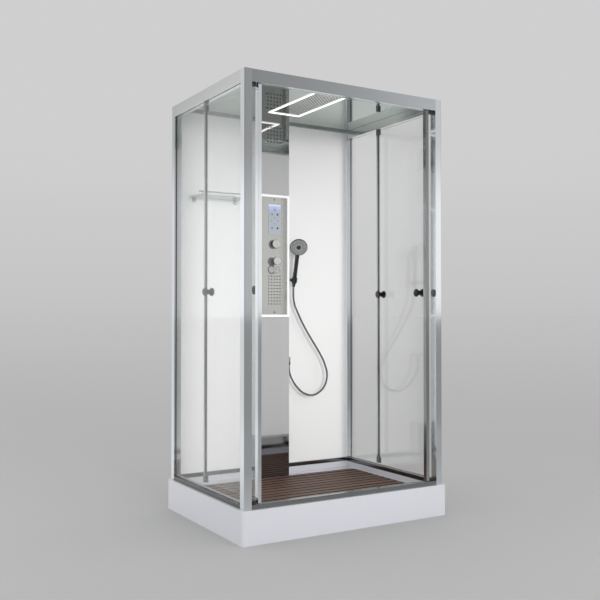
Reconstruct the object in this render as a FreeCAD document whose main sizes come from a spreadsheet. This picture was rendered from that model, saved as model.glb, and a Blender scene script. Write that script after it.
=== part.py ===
import FreeCAD, Part
import math
import os
import re
from FreeCAD import Placement, Rotation, Vector
from Sketcher import Constraint

# Shower cabin, millimetres. The origin is on the floor under the middle of the
# tray, +X runs along the long side to the right, +Y to the back wall, +Z up.

os.makedirs("parts", exist_ok=True)
doc = FreeCAD.newDocument("shower_cabin")
sizes = doc.addObject("Spreadsheet::Sheet", "sizes")
places = doc.addObject("Spreadsheet::Sheet", "places")

# Driving dimensions
SIZES = {
    # tray
    "tray_length": 1200, "tray_width": 900, "tray_height": 160, "tray_corner": 14,
    "tray_wall": 6, "tray_floor": 8, "ledge_depth": 33, "well_depth": 27, "well_gap": 5,
    "well_corner": 50,
    # levelling frame under the tray
    "bearer_side": 30, "bearer_wall": 2, "bearer_margin_x": 70, "bearer_margin_y": 170,
    "cross_inner_x": 170, "cross_inset": 30, "foot_radius": 22, "foot_pad": 8, "foot_rod": 6,
    "foot_nut": 12, "foot_nut_thick": 6,
    # drain
    "drain_hole": 45, "drain_flange": 54, "drain_flange_thick": 2, "drain_cover": 50,
    "drain_cover_thick": 3, "trap_radius": 58, "trap_low": 18, "trap_height": 64,
    "waste_radius": 20, "waste_bore": 17, "waste_socket": 18.5, "socket_depth": 30,
    "waste_level": 40, "trap_wall": 4, "throat_wall": 2, "drain_slot_width": 4, "drain_slot_pitch": 8,
    "drain_slots_each_side": 3, "drain_slot_half": 30,
    # slatted deck
    "deck_side_margin": 65, "deck_front_margin": 105, "deck_column_gap": 12, "slat_width": 44,
    "slat_thick": 14, "slat_gap": 12.5, "deck_corner": 45, "batten_width": 40, "batten_thick": 11,
    "batten_margin": 105, "pad_radius": 12, "deck_proud": 3,
    # frame
    "frame_top": 2192, "frame_inset": 14, "post_side": 40, "post_wall": 2, "post_round": 5,
    "beam_height": 60, "beam_depth": 38, "beam_wall": 3, "rear_beam_height": 22,
    "rear_depth": 26, "rail_height": 22, "rail_wall": 2, "roof_seat": 8, "roof_drop": 10,
    "roof_thick": 4, "key_length": 34,
    # glass and rear panels
    "glass_thick": 6, "glass_grip": 8, "glass_from_outside": 8, "panel_from_outside": 6,
    "fit_gap": 0.3, "snug_gap": 0.1,
    # rain head and light in the roof
    "rain_width": 200, "rain_length": 490, "rain_shift": -20, "light_border": 14,
    "light_thick": 8, "light_proud": 4, "rain_lip": 7, "rain_plate_thick": 2,
    "nozzle_radius": 2, "nozzle_pitch": 22, "nozzle_columns_each_side": 3,
    "nozzle_rows_each_side": 9, "chamber_wall": 3, "chamber_height": 30,
    "chamber_margin": 8,
    # door leaves
    "pivot_margin": 46, "pivot_back": 24, "open_swing": 46.7, "stile_width": 26, "stile_thick": 18,
    "closing_width": 13, "closing_thick": 14, "meeting_seal": 3, "meeting_gap": 1,
    "leaf_low_gap": 18, "leaf_top_gap": 2, "stile_end_gap": 1, "stile_grip": 8,
    "closing_grip": 7, "pin_radius": 4, "pin_reach": 8, "bore_gap": 0.08,
    "cap_reach": 22, "cap_height": 34, "cap_wall": 2.5,
    "jamb_thick": 3, "jamb_block_thick": 15, "jamb_block_depth": 20,
    # knobs on the leaves
    "knob_level": 1170, "knob_edge_distance": 34, "knob_hinge_distance": 64,
    "knob_radius": 21, "knob_neck": 13, "knob_reach": 22, "knob_head": 11, "knob_round": 3,
    "stud_radius": 4, "stud_hole": 6,
    # column
    "column_width": 198, "column_depth": 75, "column_sheet": 2, "panel_drop": 442,
    "panel_height": 700, "panel_inset": 1.5, "panel_border": 14, "panel_light_thick": 7,
    "plate_thick": 3,
    "window_margin": 12, "display_width": 78, "display_height": 170, "display_thick": 4,
    "display_drop": 57, "panel_screw_radius": 3.5, "panel_screw_inset": 14,
    "diverter_drop": 283, "valve_spacing": 98, "valve_neck": 14, "valve_radius": 24,
    "valve_length": 46, "collar_radius": 19, "collar_thick": 5, "dial_radius": 25,
    "dial_length": 21, "dial_round": 3, "mixer_hub_radius": 18, "mixer_hub_length": 14,
    "spindle_radius": 5, "spindle_length": 7, "inlet_spacing": 80, "inlet_radius": 10.5,
    "inlet_reach": 12, "inlet_bar_radius": 13, "inlet_neck": 9.5, "inlet_collar": 14,
    "jet_radius": 3, "jet_proud": 2.5, "jet_length": 10, "jet_pitch_x": 18.5,
    "jet_pitch_z": 17.7, "jets_drop": 85, "manifold_margin": 12, "manifold_thick": 20,
    "jet_columns_each_side": 2, "jets_low_margin": 70,
    # square field of jets at the column's top
    "top_jets_drop": 96, "top_jet_pitch": 20.4, "top_screw_out": 12, "top_screw_depth": 8,
    # mixer lever
    "lever_neck": 5, "lever_stem": 4, "lever_slot_depth": 6, "lever_slot_rise": 10,
    "lever_cap_gap": 9, "lever_cap_radius": 24, "lever_cap_thick": 9, "ring_radius": 21.5,
    "ring_wire": 3.5, "ring_drop": 46, "lever_gap": 1,
    # hand shower
    "cup_out": 55, "cup_back": 33, "cup_level": 1256, "cup_bore": 12.8, "cup_wall": 4,
    "cup_height": 30, "cup_mouth": 13, "side_angle": 3, "lean_angle": 8.5, "turn_angle": -25,
    "handle_radius": 12.4, "handle_low": 22, "handle_length": 160, "handle_slim": 10,
    "handle_top": 9.5,
    "head_radius": 52, "head_thick": 20, "head_distance": 196, "head_forward": 16, "head_angle": 20,
    "head_round": 7, "face_radius": 45, "face_thick": 2.5, "bracket_radius": 18,
    "bracket_thick": 4, "arm_radius": 8,
    "nut_length": 18, "nut_radius": 9.5, "nut_tail": 7.5,
    # hose and its outlet
    "hose_radius": 6, "outlet_out": 25, "outlet_back": 45, "outlet_level": 800,
    "outlet_drop": 24, "outlet_radius": 9, "outlet_flange": 20, "outlet_plate": 4,
    # rain feed
    "riser_radius": 8, "riser_back": 33, "riser_bend": 12, "riser_rise": 14,
    # shelf
    "shelf_side_gap": 61, "shelf_column_gap": 86, "shelf_depth": 120, "shelf_thick": 6,
    "shelf_level": 1702, "shelf_rail_radius": 4, "shelf_rail_rise": 20, "shelf_inset": 24,
    "shelf_arm": 6, "shelf_arm_reach": 8, "shelf_bar_out": 4.8, "shelf_rose": 13,
    "shelf_rose_thick": 6,
    # drawing help: how far a cutting tool runs past the face that it cuts
    "overrun": 5,
}

# Places worked out from the driving dimensions
PLACES = {
    "tray_x": "tray_length / 2",
    "tray_y": "tray_width / 2",
    "ledge_level": "tray_height - ledge_depth",
    "well_level": "ledge_level - well_depth",
    "under_level": "well_level - tray_floor",
    "bearer_x": "tray_x - bearer_margin_x",
    "bearer_y": "tray_y - bearer_margin_y",
    "cross_outer_x": "bearer_x - cross_inset",
    "frame_x": "tray_x - frame_inset",
    "frame_y": "tray_y - frame_inset",
    "clear_x": "frame_x - post_side",
    "clear_y": "frame_y - post_side",
    "rear_face": "frame_y - rear_depth",
    "rail_level": "tray_height + rail_height",
    "beam_level": "frame_top - beam_height",
    "rear_beam_level": "frame_top - rear_beam_height",
    "roof_level": "frame_top - roof_drop",
    "roof_back": "roof_level + roof_thick",
    "glass_out_x": "frame_x - glass_from_outside",
    "glass_in_x": "glass_out_x - glass_thick",
    "panel_out_y": "frame_y - panel_from_outside",
    "panel_in_y": "panel_out_y - glass_thick",
    "column_face": "rear_face - column_depth",
    "column_x": "column_width / 2",
    "deck_x": "tray_x - deck_side_margin",
    "batten_reach": "deck_x - batten_margin",
    "deck_front": "deck_front_margin - tray_y",
    "deck_back": "column_face - deck_column_gap",
    "slat_pitch": "slat_width + slat_gap",
    "slat_count": "floor((deck_back - deck_front + slat_gap) / slat_pitch)",
    "slat_start": "deck_back - slat_count * slat_pitch + slat_gap",
    "deck_level": "ledge_level + deck_proud",
    "slat_level": "deck_level - slat_thick",
    "batten_level": "slat_level - batten_thick",
    "pivot_x": "clear_x - pivot_margin",
    "pivot_y": "pivot_back - frame_y",
    "stile_low": "rail_level + stile_end_gap",
    "stile_high": "beam_level - stile_end_gap",
    "leaf_low": "rail_level + leaf_low_gap",
    "leaf_high": "beam_level - leaf_top_gap",
    "leaf_end": "pivot_x - meeting_gap / 2 - meeting_seal",
    "open_angle": "90 + asin(open_swing / leaf_end) / 1 deg",
    "closing_in": "leaf_end - closing_width",
    "stile_half": "stile_width / 2",
    "stile_sweep": "sqrt(stile_width * stile_width + stile_thick * stile_thick) / 2",
    "glass_half": "glass_thick / 2",
    "jamb_end": "pivot_x + stile_sweep + fit_gap",
    "rain_front": "rain_shift - rain_length / 2",
    "rain_back": "rain_shift + rain_length / 2",
    "rain_x": "rain_width / 2",
    "light_low": "roof_level - light_proud",
    "light_high": "light_low + light_thick",
    "chamber_high": "roof_back + chamber_height",
    "panel_top": "roof_level - panel_drop",
    "panel_low": "panel_top - panel_height",
    "panel_x": "column_x - panel_inset",
    "plate_x": "panel_x - panel_border",
    "plate_face": "column_face - plate_thick",
    "collar_face": "plate_face - collar_thick",
    "diverter_level": "panel_top - diverter_drop",
    "mixer_level": "diverter_level - valve_spacing",
    "jet_top_level": "mixer_level - jets_drop",
    "jet_rows": "floor((jet_top_level - panel_low - jets_low_margin) / jet_pitch_z) + 1",
    "jet_low_level": "jet_top_level - (jet_rows - 1) * jet_pitch_z",
    "sheet_back": "column_face + column_sheet",
    "top_jets_level": "roof_level - top_jets_drop",
    "top_jets_reach": "jet_columns_each_side * top_jet_pitch",
    "top_screw_x": "top_jets_reach + top_screw_out",
    "riser_y": "column_face + riser_back",
    "riser_level": "roof_back + riser_rise",
    "cup_x": "column_x + cup_out",
    "cup_y": "column_face + cup_back",
    "outlet_x": "column_x + outlet_out",
    "outlet_y": "column_face + outlet_back",
    "outlet_low": "outlet_level - outlet_drop",
    "shelf_left": "clear_x - shelf_side_gap",
    "shelf_right": "-column_x - shelf_column_gap",
    "shelf_front": "panel_in_y - shelf_depth",
}


def bound(text, own=False):
    """Points each word of a formula at the cell that holds it."""
    def swap(match):
        word = match.group(0)
        if word in SIZES:
            return "sizes." + word
        if word in PLACES and not own:
            return "places." + word
        return word
    return re.sub(r"[a-z]\w*", swap, text)


for row, (name, value) in enumerate(SIZES.items(), start=1):
    sizes.set(f"A{row}", name)
    sizes.set(f"B{row}", str(value))
    sizes.setAlias(f"B{row}", name)
doc.recompute()
for row, (name, formula) in enumerate(PLACES.items(), start=1):
    places.set(f"A{row}", name)
    places.set(f"B{row}", "=" + bound(formula, own=True))
    places.setAlias(f"B{row}", name)
doc.recompute()

NODES = []


def size(name):
    """The number that a named size or place holds."""
    return float(sizes.get(name) if name in SIZES else places.get(name))


def seat(thing, x="0", y="0", z="0"):
    """Binds where a piece stands."""
    for axis, text in zip("xyz", (x, y, z)):
        thing.setExpression("Placement.Base." + axis, bound(text))
    return thing


def bind(thing, **formulas):
    """Binds sizes of a piece to the sheet."""
    for prop, text in formulas.items():
        thing.setExpression(prop, bound(text))
    return thing


def block(name, x, y, z):
    """A box between two formulas on each axis."""
    thing = doc.addObject("Part::Box", name)
    spans = [f"({high}) - ({low})" for low, high in (x, y, z)]
    bind(thing, Length=spans[0], Width=spans[1], Height=spans[2])
    return seat(thing, x[0], y[0], z[0])


def rod(name, radius, x, y, z):
    """A cylinder along the one axis that is given as a pair of formulas."""
    thing = doc.addObject("Part::Cylinder", name)
    if isinstance(x, tuple):
        span, turn, start = x, Rotation(Vector(0, 1, 0), 90), (x[0], y, z)
    elif isinstance(y, tuple):
        span, turn, start = y, Rotation(Vector(1, 0, 0), -90), (x, y[0], z)
    else:
        span, turn, start = z, Rotation(), (x, y, z[0])
    thing.Placement = Placement(Vector(0, 0, 0), turn)
    bind(thing, Radius=radius, Height=f"({span[1]}) - ({span[0]})")
    return seat(thing, *start)


def cut(name, base, *tools):
    """The base less each tool in turn."""
    for count, tool in enumerate(tools, start=1):
        last = count == len(tools)
        thing = doc.addObject("Part::Cut", name if last else f"{name}_step{count}")
        thing.Base = base
        thing.Tool = tool
        thing.Refine = True
        base = thing
    return base


def fuse(name, *pieces):
    """One solid out of pieces that meet."""
    thing = doc.addObject("Part::MultiFuse", name)
    thing.Shapes = list(pieces)
    thing.Refine = True
    return thing


def common(name, base, tool):
    """What two pieces share."""
    thing = doc.addObject("Part::Common", name)
    thing.Base = base
    thing.Tool = tool
    return thing


def gather(name, *pieces):
    """Separate solids kept together."""
    thing = doc.addObject("Part::Compound", name)
    thing.Links = list(pieces)
    return thing


def each_side(name):
    """Whole numbers from a named count below zero to the same above it."""
    count = int(size(name))
    return range(-count, count + 1)


def node(name, thing):
    """Names a finished sub-part."""
    thing.Label = name
    NODES.append(thing)
    return thing


def origin_plane(body, role):
    """One of a body's own origin planes."""
    return next(item for item in body.Origin.OriginFeatures if item.Role == role)


def sketch_on(body, name, role="XY_Plane", lift="0"):
    """A sketch on an origin plane of the body, lifted along its normal."""
    sketch = body.newObject("Sketcher::SketchObject", name)
    sketch.AttachmentSupport = (origin_plane(body, role), [""])
    sketch.MapMode = "FlatFace"
    sketch.setExpression("AttachmentOffset.Base.z", bound(lift))
    return sketch


def pin_point(sketch, geometry, position, x, y):
    """Holds a point of a sketch at two formulas from the sketch's origin."""
    for kind, text in (("DistanceX", x), ("DistanceY", y)):
        index = sketch.addConstraint(Constraint(kind, -1, 1, geometry, position, 1.0))
        sketch.setExpression(f"Constraints[{index}]", bound(text))


def outline(sketch, corners):
    """A closed run of straight lines through corners given as formulas."""
    first = sketch.GeometryCount
    count = len(corners)
    ring = [Vector(math.cos(2 * math.pi * k / count), math.sin(2 * math.pi * k / count), 0)
            for k in range(count)]
    for k in range(count):
        sketch.addGeometry(Part.LineSegment(ring[k], ring[(k + 1) % count]), False)
    for k in range(count):
        following = first + (k + 1) % count
        sketch.addConstraint(Constraint("Coincident", first + k, 2, following, 1))
    for k, (x, y) in enumerate(corners):
        pin_point(sketch, first + k, 1, x, y)


def rectangle(sketch, x, y):
    """A rectangle between two formulas on each sketch axis."""
    outline(sketch, [(x[0], y[0]), (x[1], y[0]), (x[1], y[1]), (x[0], y[1])])


def pad(body, sketch, length):
    """A pad along the sketch's normal."""
    thing = body.newObject("PartDesign::Pad", sketch.Name + "_pad")
    thing.Profile = sketch
    thing.setExpression("Length", bound(length))
    return thing


def round_edges(body, base, radius, keep):
    """A fillet on the edges of the base that the test keeps."""
    doc.recompute()
    names = [f"Edge{k}" for k, edge in enumerate(base.Shape.Edges, start=1) if keep(edge)]
    thing = body.newObject("PartDesign::Fillet", base.Name + "_round")
    thing.Base = (base, names)
    thing.setExpression("Radius", bound(radius))
    return thing


def turned(name, profile):
    """A body turned about its own X axis from a profile of (along, radius) corners."""
    body = doc.addObject("PartDesign::Body", name)
    sketch = sketch_on(body, name + "_profile")
    outline(sketch, profile)
    turn = body.newObject("PartDesign::Revolution", name + "_turn")
    turn.Profile = sketch
    turn.ReferenceAxis = (sketch, ["H_Axis"])
    turn.Angle = 360
    return body


def is_upright(edge):
    """True for a straight edge that stands along Z."""
    ends = [vertex.Point for vertex in edge.Vertexes]
    if len(ends) != 2:
        return False
    span = ends[1] - ends[0]
    return abs(span.x) + abs(span.y) < abs(span.z) * size("fit_gap") / size("post_side")


# Tray: a moulded shell with a rim under the frame, a ledge inside it and a
# well in which the deck lies
def make_tray():
    body = doc.addObject("PartDesign::Body", "tray_outside")
    sketch = sketch_on(body, "tray_plan")
    rectangle(sketch, ("-tray_x", "tray_x"), ("-tray_y", "tray_y"))
    solid = pad(body, sketch, "tray_height")
    round_edges(body, solid, "tray_corner", is_upright)
    ledge = block("ledge_space", ("-clear_x", "clear_x"), ("-clear_y", "rear_face"),
                  ("ledge_level", "tray_height + overrun"))
    well = well_form("well_space", "well_gap", "well_level", "tray_height")
    under = block("under_space", ("tray_wall - tray_x", "tray_x - tray_wall"),
                  ("tray_wall - tray_y", "tray_y - tray_wall"),
                  ("-overrun", "tray_height - tray_wall"))
    ledge_shell = block("ledge_shell", ("-clear_x - tray_wall", "clear_x + tray_wall"),
                        ("-clear_y - tray_wall", "rear_face + tray_wall"),
                        ("ledge_level - tray_floor", "tray_height"))
    well_shell = well_form("well_shell", "well_gap + tray_wall", "under_level", "tray_height")
    hollow = cut("tray_hollow", under, ledge_shell, well_shell)
    hole = rod("tray_drain_hole", "drain_hole", "0", "0",
               ("under_level - overrun", "well_level + overrun"))
    spigot = rod("tray_waste_hole", "waste_radius + fit_gap", "0",
                 ("tray_y - tray_wall - overrun", "tray_y + overrun"), "waste_level")
    node("shower_tray", cut("tray_shell", body, ledge, well, hollow, hole, spigot))


def well_form(name, margin, low, high):
    """The rounded rectangle of the deck's well, larger than the deck by a margin."""
    body = doc.addObject("PartDesign::Body", name)
    sketch = sketch_on(body, name + "_plan", lift=low)
    rectangle(sketch, (f"-deck_x - {margin}", f"deck_x + {margin}"),
              (f"deck_front - {margin}", f"deck_back + {margin}"))
    solid = pad(body, sketch, f"{high} - ({low})")
    round_edges(body, solid, f"well_corner + ({margin}) - well_gap", is_upright)
    return body


# Levelling frame: square steel tube under the floor of the well, on threaded feet
def tube_block(name, x, y, z, wall, along):
    """A square tube, hollow along one axis."""
    outer = block(name + "_outer", x, y, z)
    spans = {"x": x, "y": y, "z": z}
    inner = {}
    for axis, (low, high) in spans.items():
        grow = f"({wall})" if axis != along else "(-overrun)"
        inner[axis] = (f"{low} + {grow}", f"{high} - {grow}")
    return cut(name, outer, block(name + "_inner", inner["x"], inner["y"], inner["z"]))


def make_tray_frame():
    level = ("under_level - bearer_side", "under_level")
    tubes = []
    for side, low in (("front", "-bearer_y"), ("rear", "bearer_y - bearer_side")):
        tubes.append(tube_block(f"{side}_bearer", ("-bearer_x", "bearer_x"),
                                (low, f"{low} + bearer_side"), level, "bearer_wall", "x"))
    for count, middle in enumerate(CROSS_PLACES):
        tubes.append(tube_block(f"cross_bearer{count}",
                                (f"{middle} - bearer_side / 2", f"{middle} + bearer_side / 2"),
                                ("bearer_side - bearer_y", "bearer_y - bearer_side"), level,
                                "bearer_wall", "y"))
    node("tray_frame", gather("tray_frame_tubes", *tubes))
    feet = []
    for x in CROSS_PLACES:
        for y in ("bearer_side / 2 - bearer_y", "bearer_y - bearer_side / 2"):
            tag = f"foot{len(feet)}"
            pad_disc = rod(tag + "_pad", "foot_radius", x, y, ("0", "foot_pad"))
            nut = rod(tag + "_nut", "foot_nut", x, y,
                      ("under_level - bearer_side - foot_nut_thick", "under_level - bearer_side"))
            screw = rod(tag + "_rod", "foot_rod", x, y, ("0", "under_level - bearer_side"))
            feet.append(fuse(tag, pad_disc, screw, nut))
    node("levelling_feet", gather("feet", *feet))


CROSS_PLACES = ("-cross_outer_x", "-cross_inner_x", "cross_inner_x", "cross_outer_x")


# Drain: a flanged trap through the floor with a side outlet, and its cover
def make_drain():
    flange = rod("drain_rim", "drain_flange", "0", "0",
                 ("well_level", "well_level + drain_flange_thick"))
    neck = rod("drain_neck", "drain_hole - fit_gap", "0", "0",
               ("trap_low + trap_height - overrun", "well_level"))
    cup = rod("trap_cup", "trap_radius", "0", "0", ("trap_low", "trap_low + trap_height"))
    pipe = rod("waste_pipe", "waste_radius", "0", ("0", "tray_y"), "waste_level")
    solid = fuse("drain_outside", flange, neck, cup, pipe)
    throat = rod("drain_throat", "drain_hole - fit_gap - throat_wall", "0", "0",
                 ("trap_low + trap_height", "well_level + overrun"))
    basin = rod("trap_basin", "trap_radius - trap_wall", "0", "0",
                ("trap_low + trap_wall", "trap_low + trap_height - trap_wall"))
    link = rod("trap_link", "drain_hole - fit_gap - trap_wall", "0", "0",
               ("trap_low + trap_height - trap_wall - overrun", "trap_low + trap_height + overrun"))
    bore = rod("waste_hollow", "waste_bore", "0", ("0", "tray_y + overrun"), "waste_level")
    socket = rod("waste_socket_hollow", "waste_socket", "0",
                 ("tray_y - socket_depth", "tray_y + overrun"), "waste_level")
    node("drain_trap", cut("drain_trap_body", solid, throat, basin, link, bore, socket))
    disc = rod("cover_disc", "drain_cover", "0", "0",
               ("well_level + drain_flange_thick",
                "well_level + drain_flange_thick + drain_cover_thick"))
    slots = []
    for count in each_side("drain_slots_each_side"):
        middle = f"{count} * drain_slot_pitch"
        slots.append(block(f"cover_slot{len(slots)}",
                           (f"{middle} - drain_slot_width / 2", f"{middle} + drain_slot_width / 2"),
                           ("-drain_slot_half", "drain_slot_half"),
                           ("well_level", "well_level + ledge_depth")))
    node("drain_cover", cut("cover_plate", disc, gather("cover_slots", *slots)))


# Deck: slats along X on cross battens with pads, cut to a rounded outline
def make_deck():
    body = doc.addObject("PartDesign::Body", "deck_outline")
    sketch = sketch_on(body, "deck_plan", lift="slat_level - overrun")
    rectangle(sketch, ("-deck_x", "deck_x"), ("slat_start", "deck_back"))
    solid = pad(body, sketch, "slat_thick + overrun * 2")
    round_edges(body, solid, "deck_corner", is_upright)
    slats = []
    for count in range(int(size("slat_count"))):
        low = f"slat_start + {count} * slat_pitch"
        slats.append(block(f"slat{count}", ("-deck_x", "deck_x"), (low, f"{low} + slat_width"),
                           ("slat_level", "deck_level")))
    node("deck_slats", common("slats_cut", gather("slats", *slats), body))
    battens = []
    pads = []
    for count, share in enumerate(BATTEN_SHARES):
        middle = f"{share} * batten_reach"
        battens.append(block(f"batten{count}",
                             (f"{middle} - batten_width / 2", f"{middle} + batten_width / 2"),
                             ("slat_start + slat_width / 4", "deck_back - slat_width / 4"),
                             ("batten_level", "slat_level")))
        for end in ("slat_start + deck_corner + batten_width",
                    "deck_back - deck_corner - batten_width"):
            pads.append(rod(f"pad{len(pads)}", "pad_radius", middle, end,
                            ("well_level", "batten_level")))
    node("deck_battens", gather("battens", *battens, *pads))


# Where the battens lie, as shares of how far the outermost one is from the middle
BATTEN_SHARES = (-1, -0.6, -0.2, 0.2, 0.6, 1)


# Posts: hollow corner profiles with a rounded outer corner and glazing grooves
def make_post(name, side_x, side_y):
    body = doc.addObject("PartDesign::Body", name + "_profile")
    sketch = sketch_on(body, name + "_plan", lift="tray_height")
    near_x, far_x = ("-frame_x", "-clear_x") if side_x < 0 else ("clear_x", "frame_x")
    near_y, far_y = ("-frame_y", "-clear_y") if side_y < 0 else ("clear_y", "frame_y")
    rectangle(sketch, (near_x, far_x), (near_y, far_y))
    solid = pad(body, sketch, "frame_top - tray_height")
    half = size("frame_x") - size("post_side") / 2

    def outer_corner(edge):
        if not is_upright(edge):
            return False
        point = edge.Vertexes[0].Point
        return point.x * side_x > half and point.y * side_y > half + size("frame_y") - size("frame_x")

    round_edges(body, solid, "post_round", outer_corner)
    core = block(name + "_core", (f"{near_x} + post_wall", f"{far_x} - post_wall"),
                 (f"{near_y} + post_wall", f"{far_y} - post_wall"),
                 ("tray_height - overrun", "frame_top - post_wall"))
    glass = side_span(side_x)
    groove_y = (f"{far_y} - glass_grip", f"{far_y} + overrun")
    if side_y > 0:
        groove_y = (f"{near_y} - overrun", f"{near_y} + glass_grip")
    grooves = [block(name + "_glass_groove", glass, groove_y,
                     ("rail_level - glass_grip", "beam_level + glass_grip"))]
    if side_y > 0:
        groove_x = (f"{far_x} - glass_grip", f"{far_x} + overrun")
        if side_x > 0:
            groove_x = (f"{near_x} - overrun", f"{near_x} + glass_grip")
        grooves.append(block(name + "_panel_groove", groove_x, REAR_SPAN,
                             ("rail_level - glass_grip", "rear_beam_level + glass_grip")))
    node(name, cut(name + "_cut", body, core, *grooves))


def side_span(side_x, gap="fit_gap"):
    """The groove for the side glass, across X."""
    if side_x < 0:
        return (f"-glass_out_x - {gap}", f"-glass_in_x + {gap}")
    return (f"glass_in_x - {gap}", f"glass_out_x + {gap}")


REAR_SPAN = ("panel_in_y - fit_gap", "panel_out_y + fit_gap")


# Beams and rails between the posts
def make_front_members():
    along = ("-clear_x", "clear_x")
    depth = ("-frame_y", "beam_depth - frame_y")
    outer = block("front_beam_outer", along, depth, ("beam_level", "frame_top"))
    hollow = block("front_beam_hollow", ("-clear_x - overrun", "clear_x + overrun"),
                   ("beam_wall - frame_y", "beam_depth - beam_wall - frame_y"),
                   ("beam_level + beam_wall", "roof_level - beam_wall"))
    rebate = block("front_beam_rebate", ("-clear_x - overrun", "clear_x + overrun"),
                   ("beam_depth - roof_seat - frame_y", "beam_depth + overrun - frame_y"),
                   ("roof_level", "frame_top + overrun"))
    holes = gather("front_beam_holes", *[
        rod(f"beam_pin_hole{k}", "pin_radius + bore_gap", x, "pivot_y",
            ("beam_level - overrun", "beam_level + beam_wall + overrun"))
        for k, x in enumerate(("-pivot_x", "pivot_x"))])
    node("front_top_beam", cut("front_beam", outer, hollow, rebate, holes))
    outer = block("front_sill_outer", along, ("-frame_y", "post_side - rail_wall * 2 - frame_y"),
                  ("tray_height", "rail_level"))
    hollow = block("front_sill_hollow", ("-clear_x - overrun", "clear_x + overrun"),
                   ("rail_wall - frame_y", "post_side - rail_wall * 3 - frame_y"),
                   ("tray_height + rail_wall", "rail_level - rail_wall"))
    holes = gather("front_sill_holes", *[
        rod(f"sill_pin_hole{k}", "pin_radius + bore_gap", x, "pivot_y",
            ("rail_level - rail_wall - overrun", "rail_level + overrun"))
        for k, x in enumerate(("-pivot_x", "pivot_x"))])
    node("front_sill", cut("sill", outer, hollow, holes))


def make_side_members(name, side_x):
    along = ("-clear_y", "clear_y")
    beyond = ("-clear_y - overrun", "clear_y + overrun")

    def across(low, high):
        """A span across X, given inwards from the outer face."""
        if side_x < 0:
            return (f"{low} - frame_x", f"{high} - frame_x")
        return (f"frame_x - ({high})", f"frame_x - ({low})")

    outer = block(name + "_beam_outer", across("0", "beam_depth"), along,
                  ("beam_level", "frame_top"))
    hollow = block(name + "_beam_hollow", across("beam_wall", "beam_depth - beam_wall"), beyond,
                   ("beam_level + beam_wall", "roof_level - beam_wall"))
    rebate = block(name + "_beam_rebate", across("beam_depth - roof_seat", "beam_depth + overrun"),
                   beyond, ("roof_level", "frame_top + overrun"))
    groove = block(name + "_beam_groove", side_span(side_x), beyond,
                   ("beam_level - overrun", "beam_level + glass_grip"))
    node(name + "_top_beam", cut(name + "_beam", outer, hollow, rebate, groove))
    outer = block(name + "_rail_outer", across("0", "post_side - rail_wall"), along,
                  ("tray_height", "rail_level"))
    hollow = block(name + "_rail_hollow", across("rail_wall", "post_side - rail_wall * 2"), beyond,
                   ("tray_height + rail_wall", "rail_level - rail_wall"))
    groove = block(name + "_rail_groove", side_span(side_x), beyond,
                   ("rail_level - glass_grip", "rail_level + overrun"))
    node(name + "_bottom_rail", cut(name + "_rail", outer, hollow, groove))


def make_rear_members():
    along = ("-clear_x", "clear_x")
    beyond = ("-clear_x - overrun", "clear_x + overrun")
    outer = block("rear_beam_outer", along, ("rear_face", "frame_y"),
                  ("rear_beam_level", "frame_top"))
    rebate = block("rear_beam_rebate", beyond, ("rear_face - overrun", "rear_face + roof_seat"),
                   ("roof_level", "frame_top + overrun"))
    groove = block("rear_beam_groove", beyond, REAR_SPAN,
                   ("rear_beam_level - overrun", "rear_beam_level + glass_grip"))
    node("rear_top_beam", cut("rear_beam", outer, rebate, groove))
    outer = block("rear_rail_outer", along, ("rear_face", "frame_y"), ("tray_height", "rail_level"))
    groove = block("rear_rail_groove", beyond, REAR_SPAN,
                   ("rail_level - glass_grip", "rail_level + overrun"))
    node("rear_bottom_rail", cut("rear_rail", outer, groove))


# Keys that join the hollow beams to the posts
def make_keys():
    level = ("beam_level + glass_grip + beam_wall", "roof_level - beam_wall - fit_gap")
    keys = []
    for side_x in (-1, 1):
        end = ("-clear_x", "key_length - clear_x") if side_x < 0 else \
            ("clear_x - key_length", "clear_x")
        keys.append(block(f"front_key{len(keys)}", end,
                          ("beam_wall + fit_gap - frame_y",
                           "beam_depth - beam_wall - fit_gap - frame_y"), level))
        width = ("beam_wall + fit_gap - frame_x", "beam_depth - beam_wall - fit_gap - frame_x")
        if side_x > 0:
            width = ("frame_x - beam_depth + beam_wall + fit_gap", "frame_x - beam_wall - fit_gap")
        for end in (("-clear_y", "key_length - clear_y"), ("clear_y - key_length", "clear_y")):
            keys.append(block(f"side_key{len(keys)}", width, end, level))
    node("beam_end_keys", gather("keys", *keys))


# Side glass and rear panels
def make_walls():
    along = ("-clear_y - glass_grip + fit_gap", "clear_y + glass_grip - fit_gap")
    level = ("rail_level - glass_grip + fit_gap", "beam_level + glass_grip - fit_gap")
    node("left_side_glass", block("left_glass", side_span(-1, "0"), along, level))
    node("right_side_glass", block("right_glass", side_span(1, "0"), along, level))
    high = "rear_beam_level + glass_grip - fit_gap"
    panels = []
    for side_x, x in ((-1, ("-clear_x - glass_grip + fit_gap", "-fit_gap / 2")),
                      (1, ("fit_gap / 2", "clear_x + glass_grip - fit_gap"))):
        sheet = block(f"rear_sheet{side_x + 1}", x, ("panel_in_y", "panel_out_y"),
                      (level[0], high))
        hole = rod(f"inlet_hole{side_x + 1}", "inlet_radius + fit_gap",
                   f"{side_x} * inlet_spacing / 2",
                   ("panel_in_y - overrun", "panel_out_y + overrun"), "mixer_level")
        panels.append(cut(f"rear_panel{side_x + 1}", sheet, hole))
    node("rear_panels", gather("rear_panel_pair", *panels))


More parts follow.
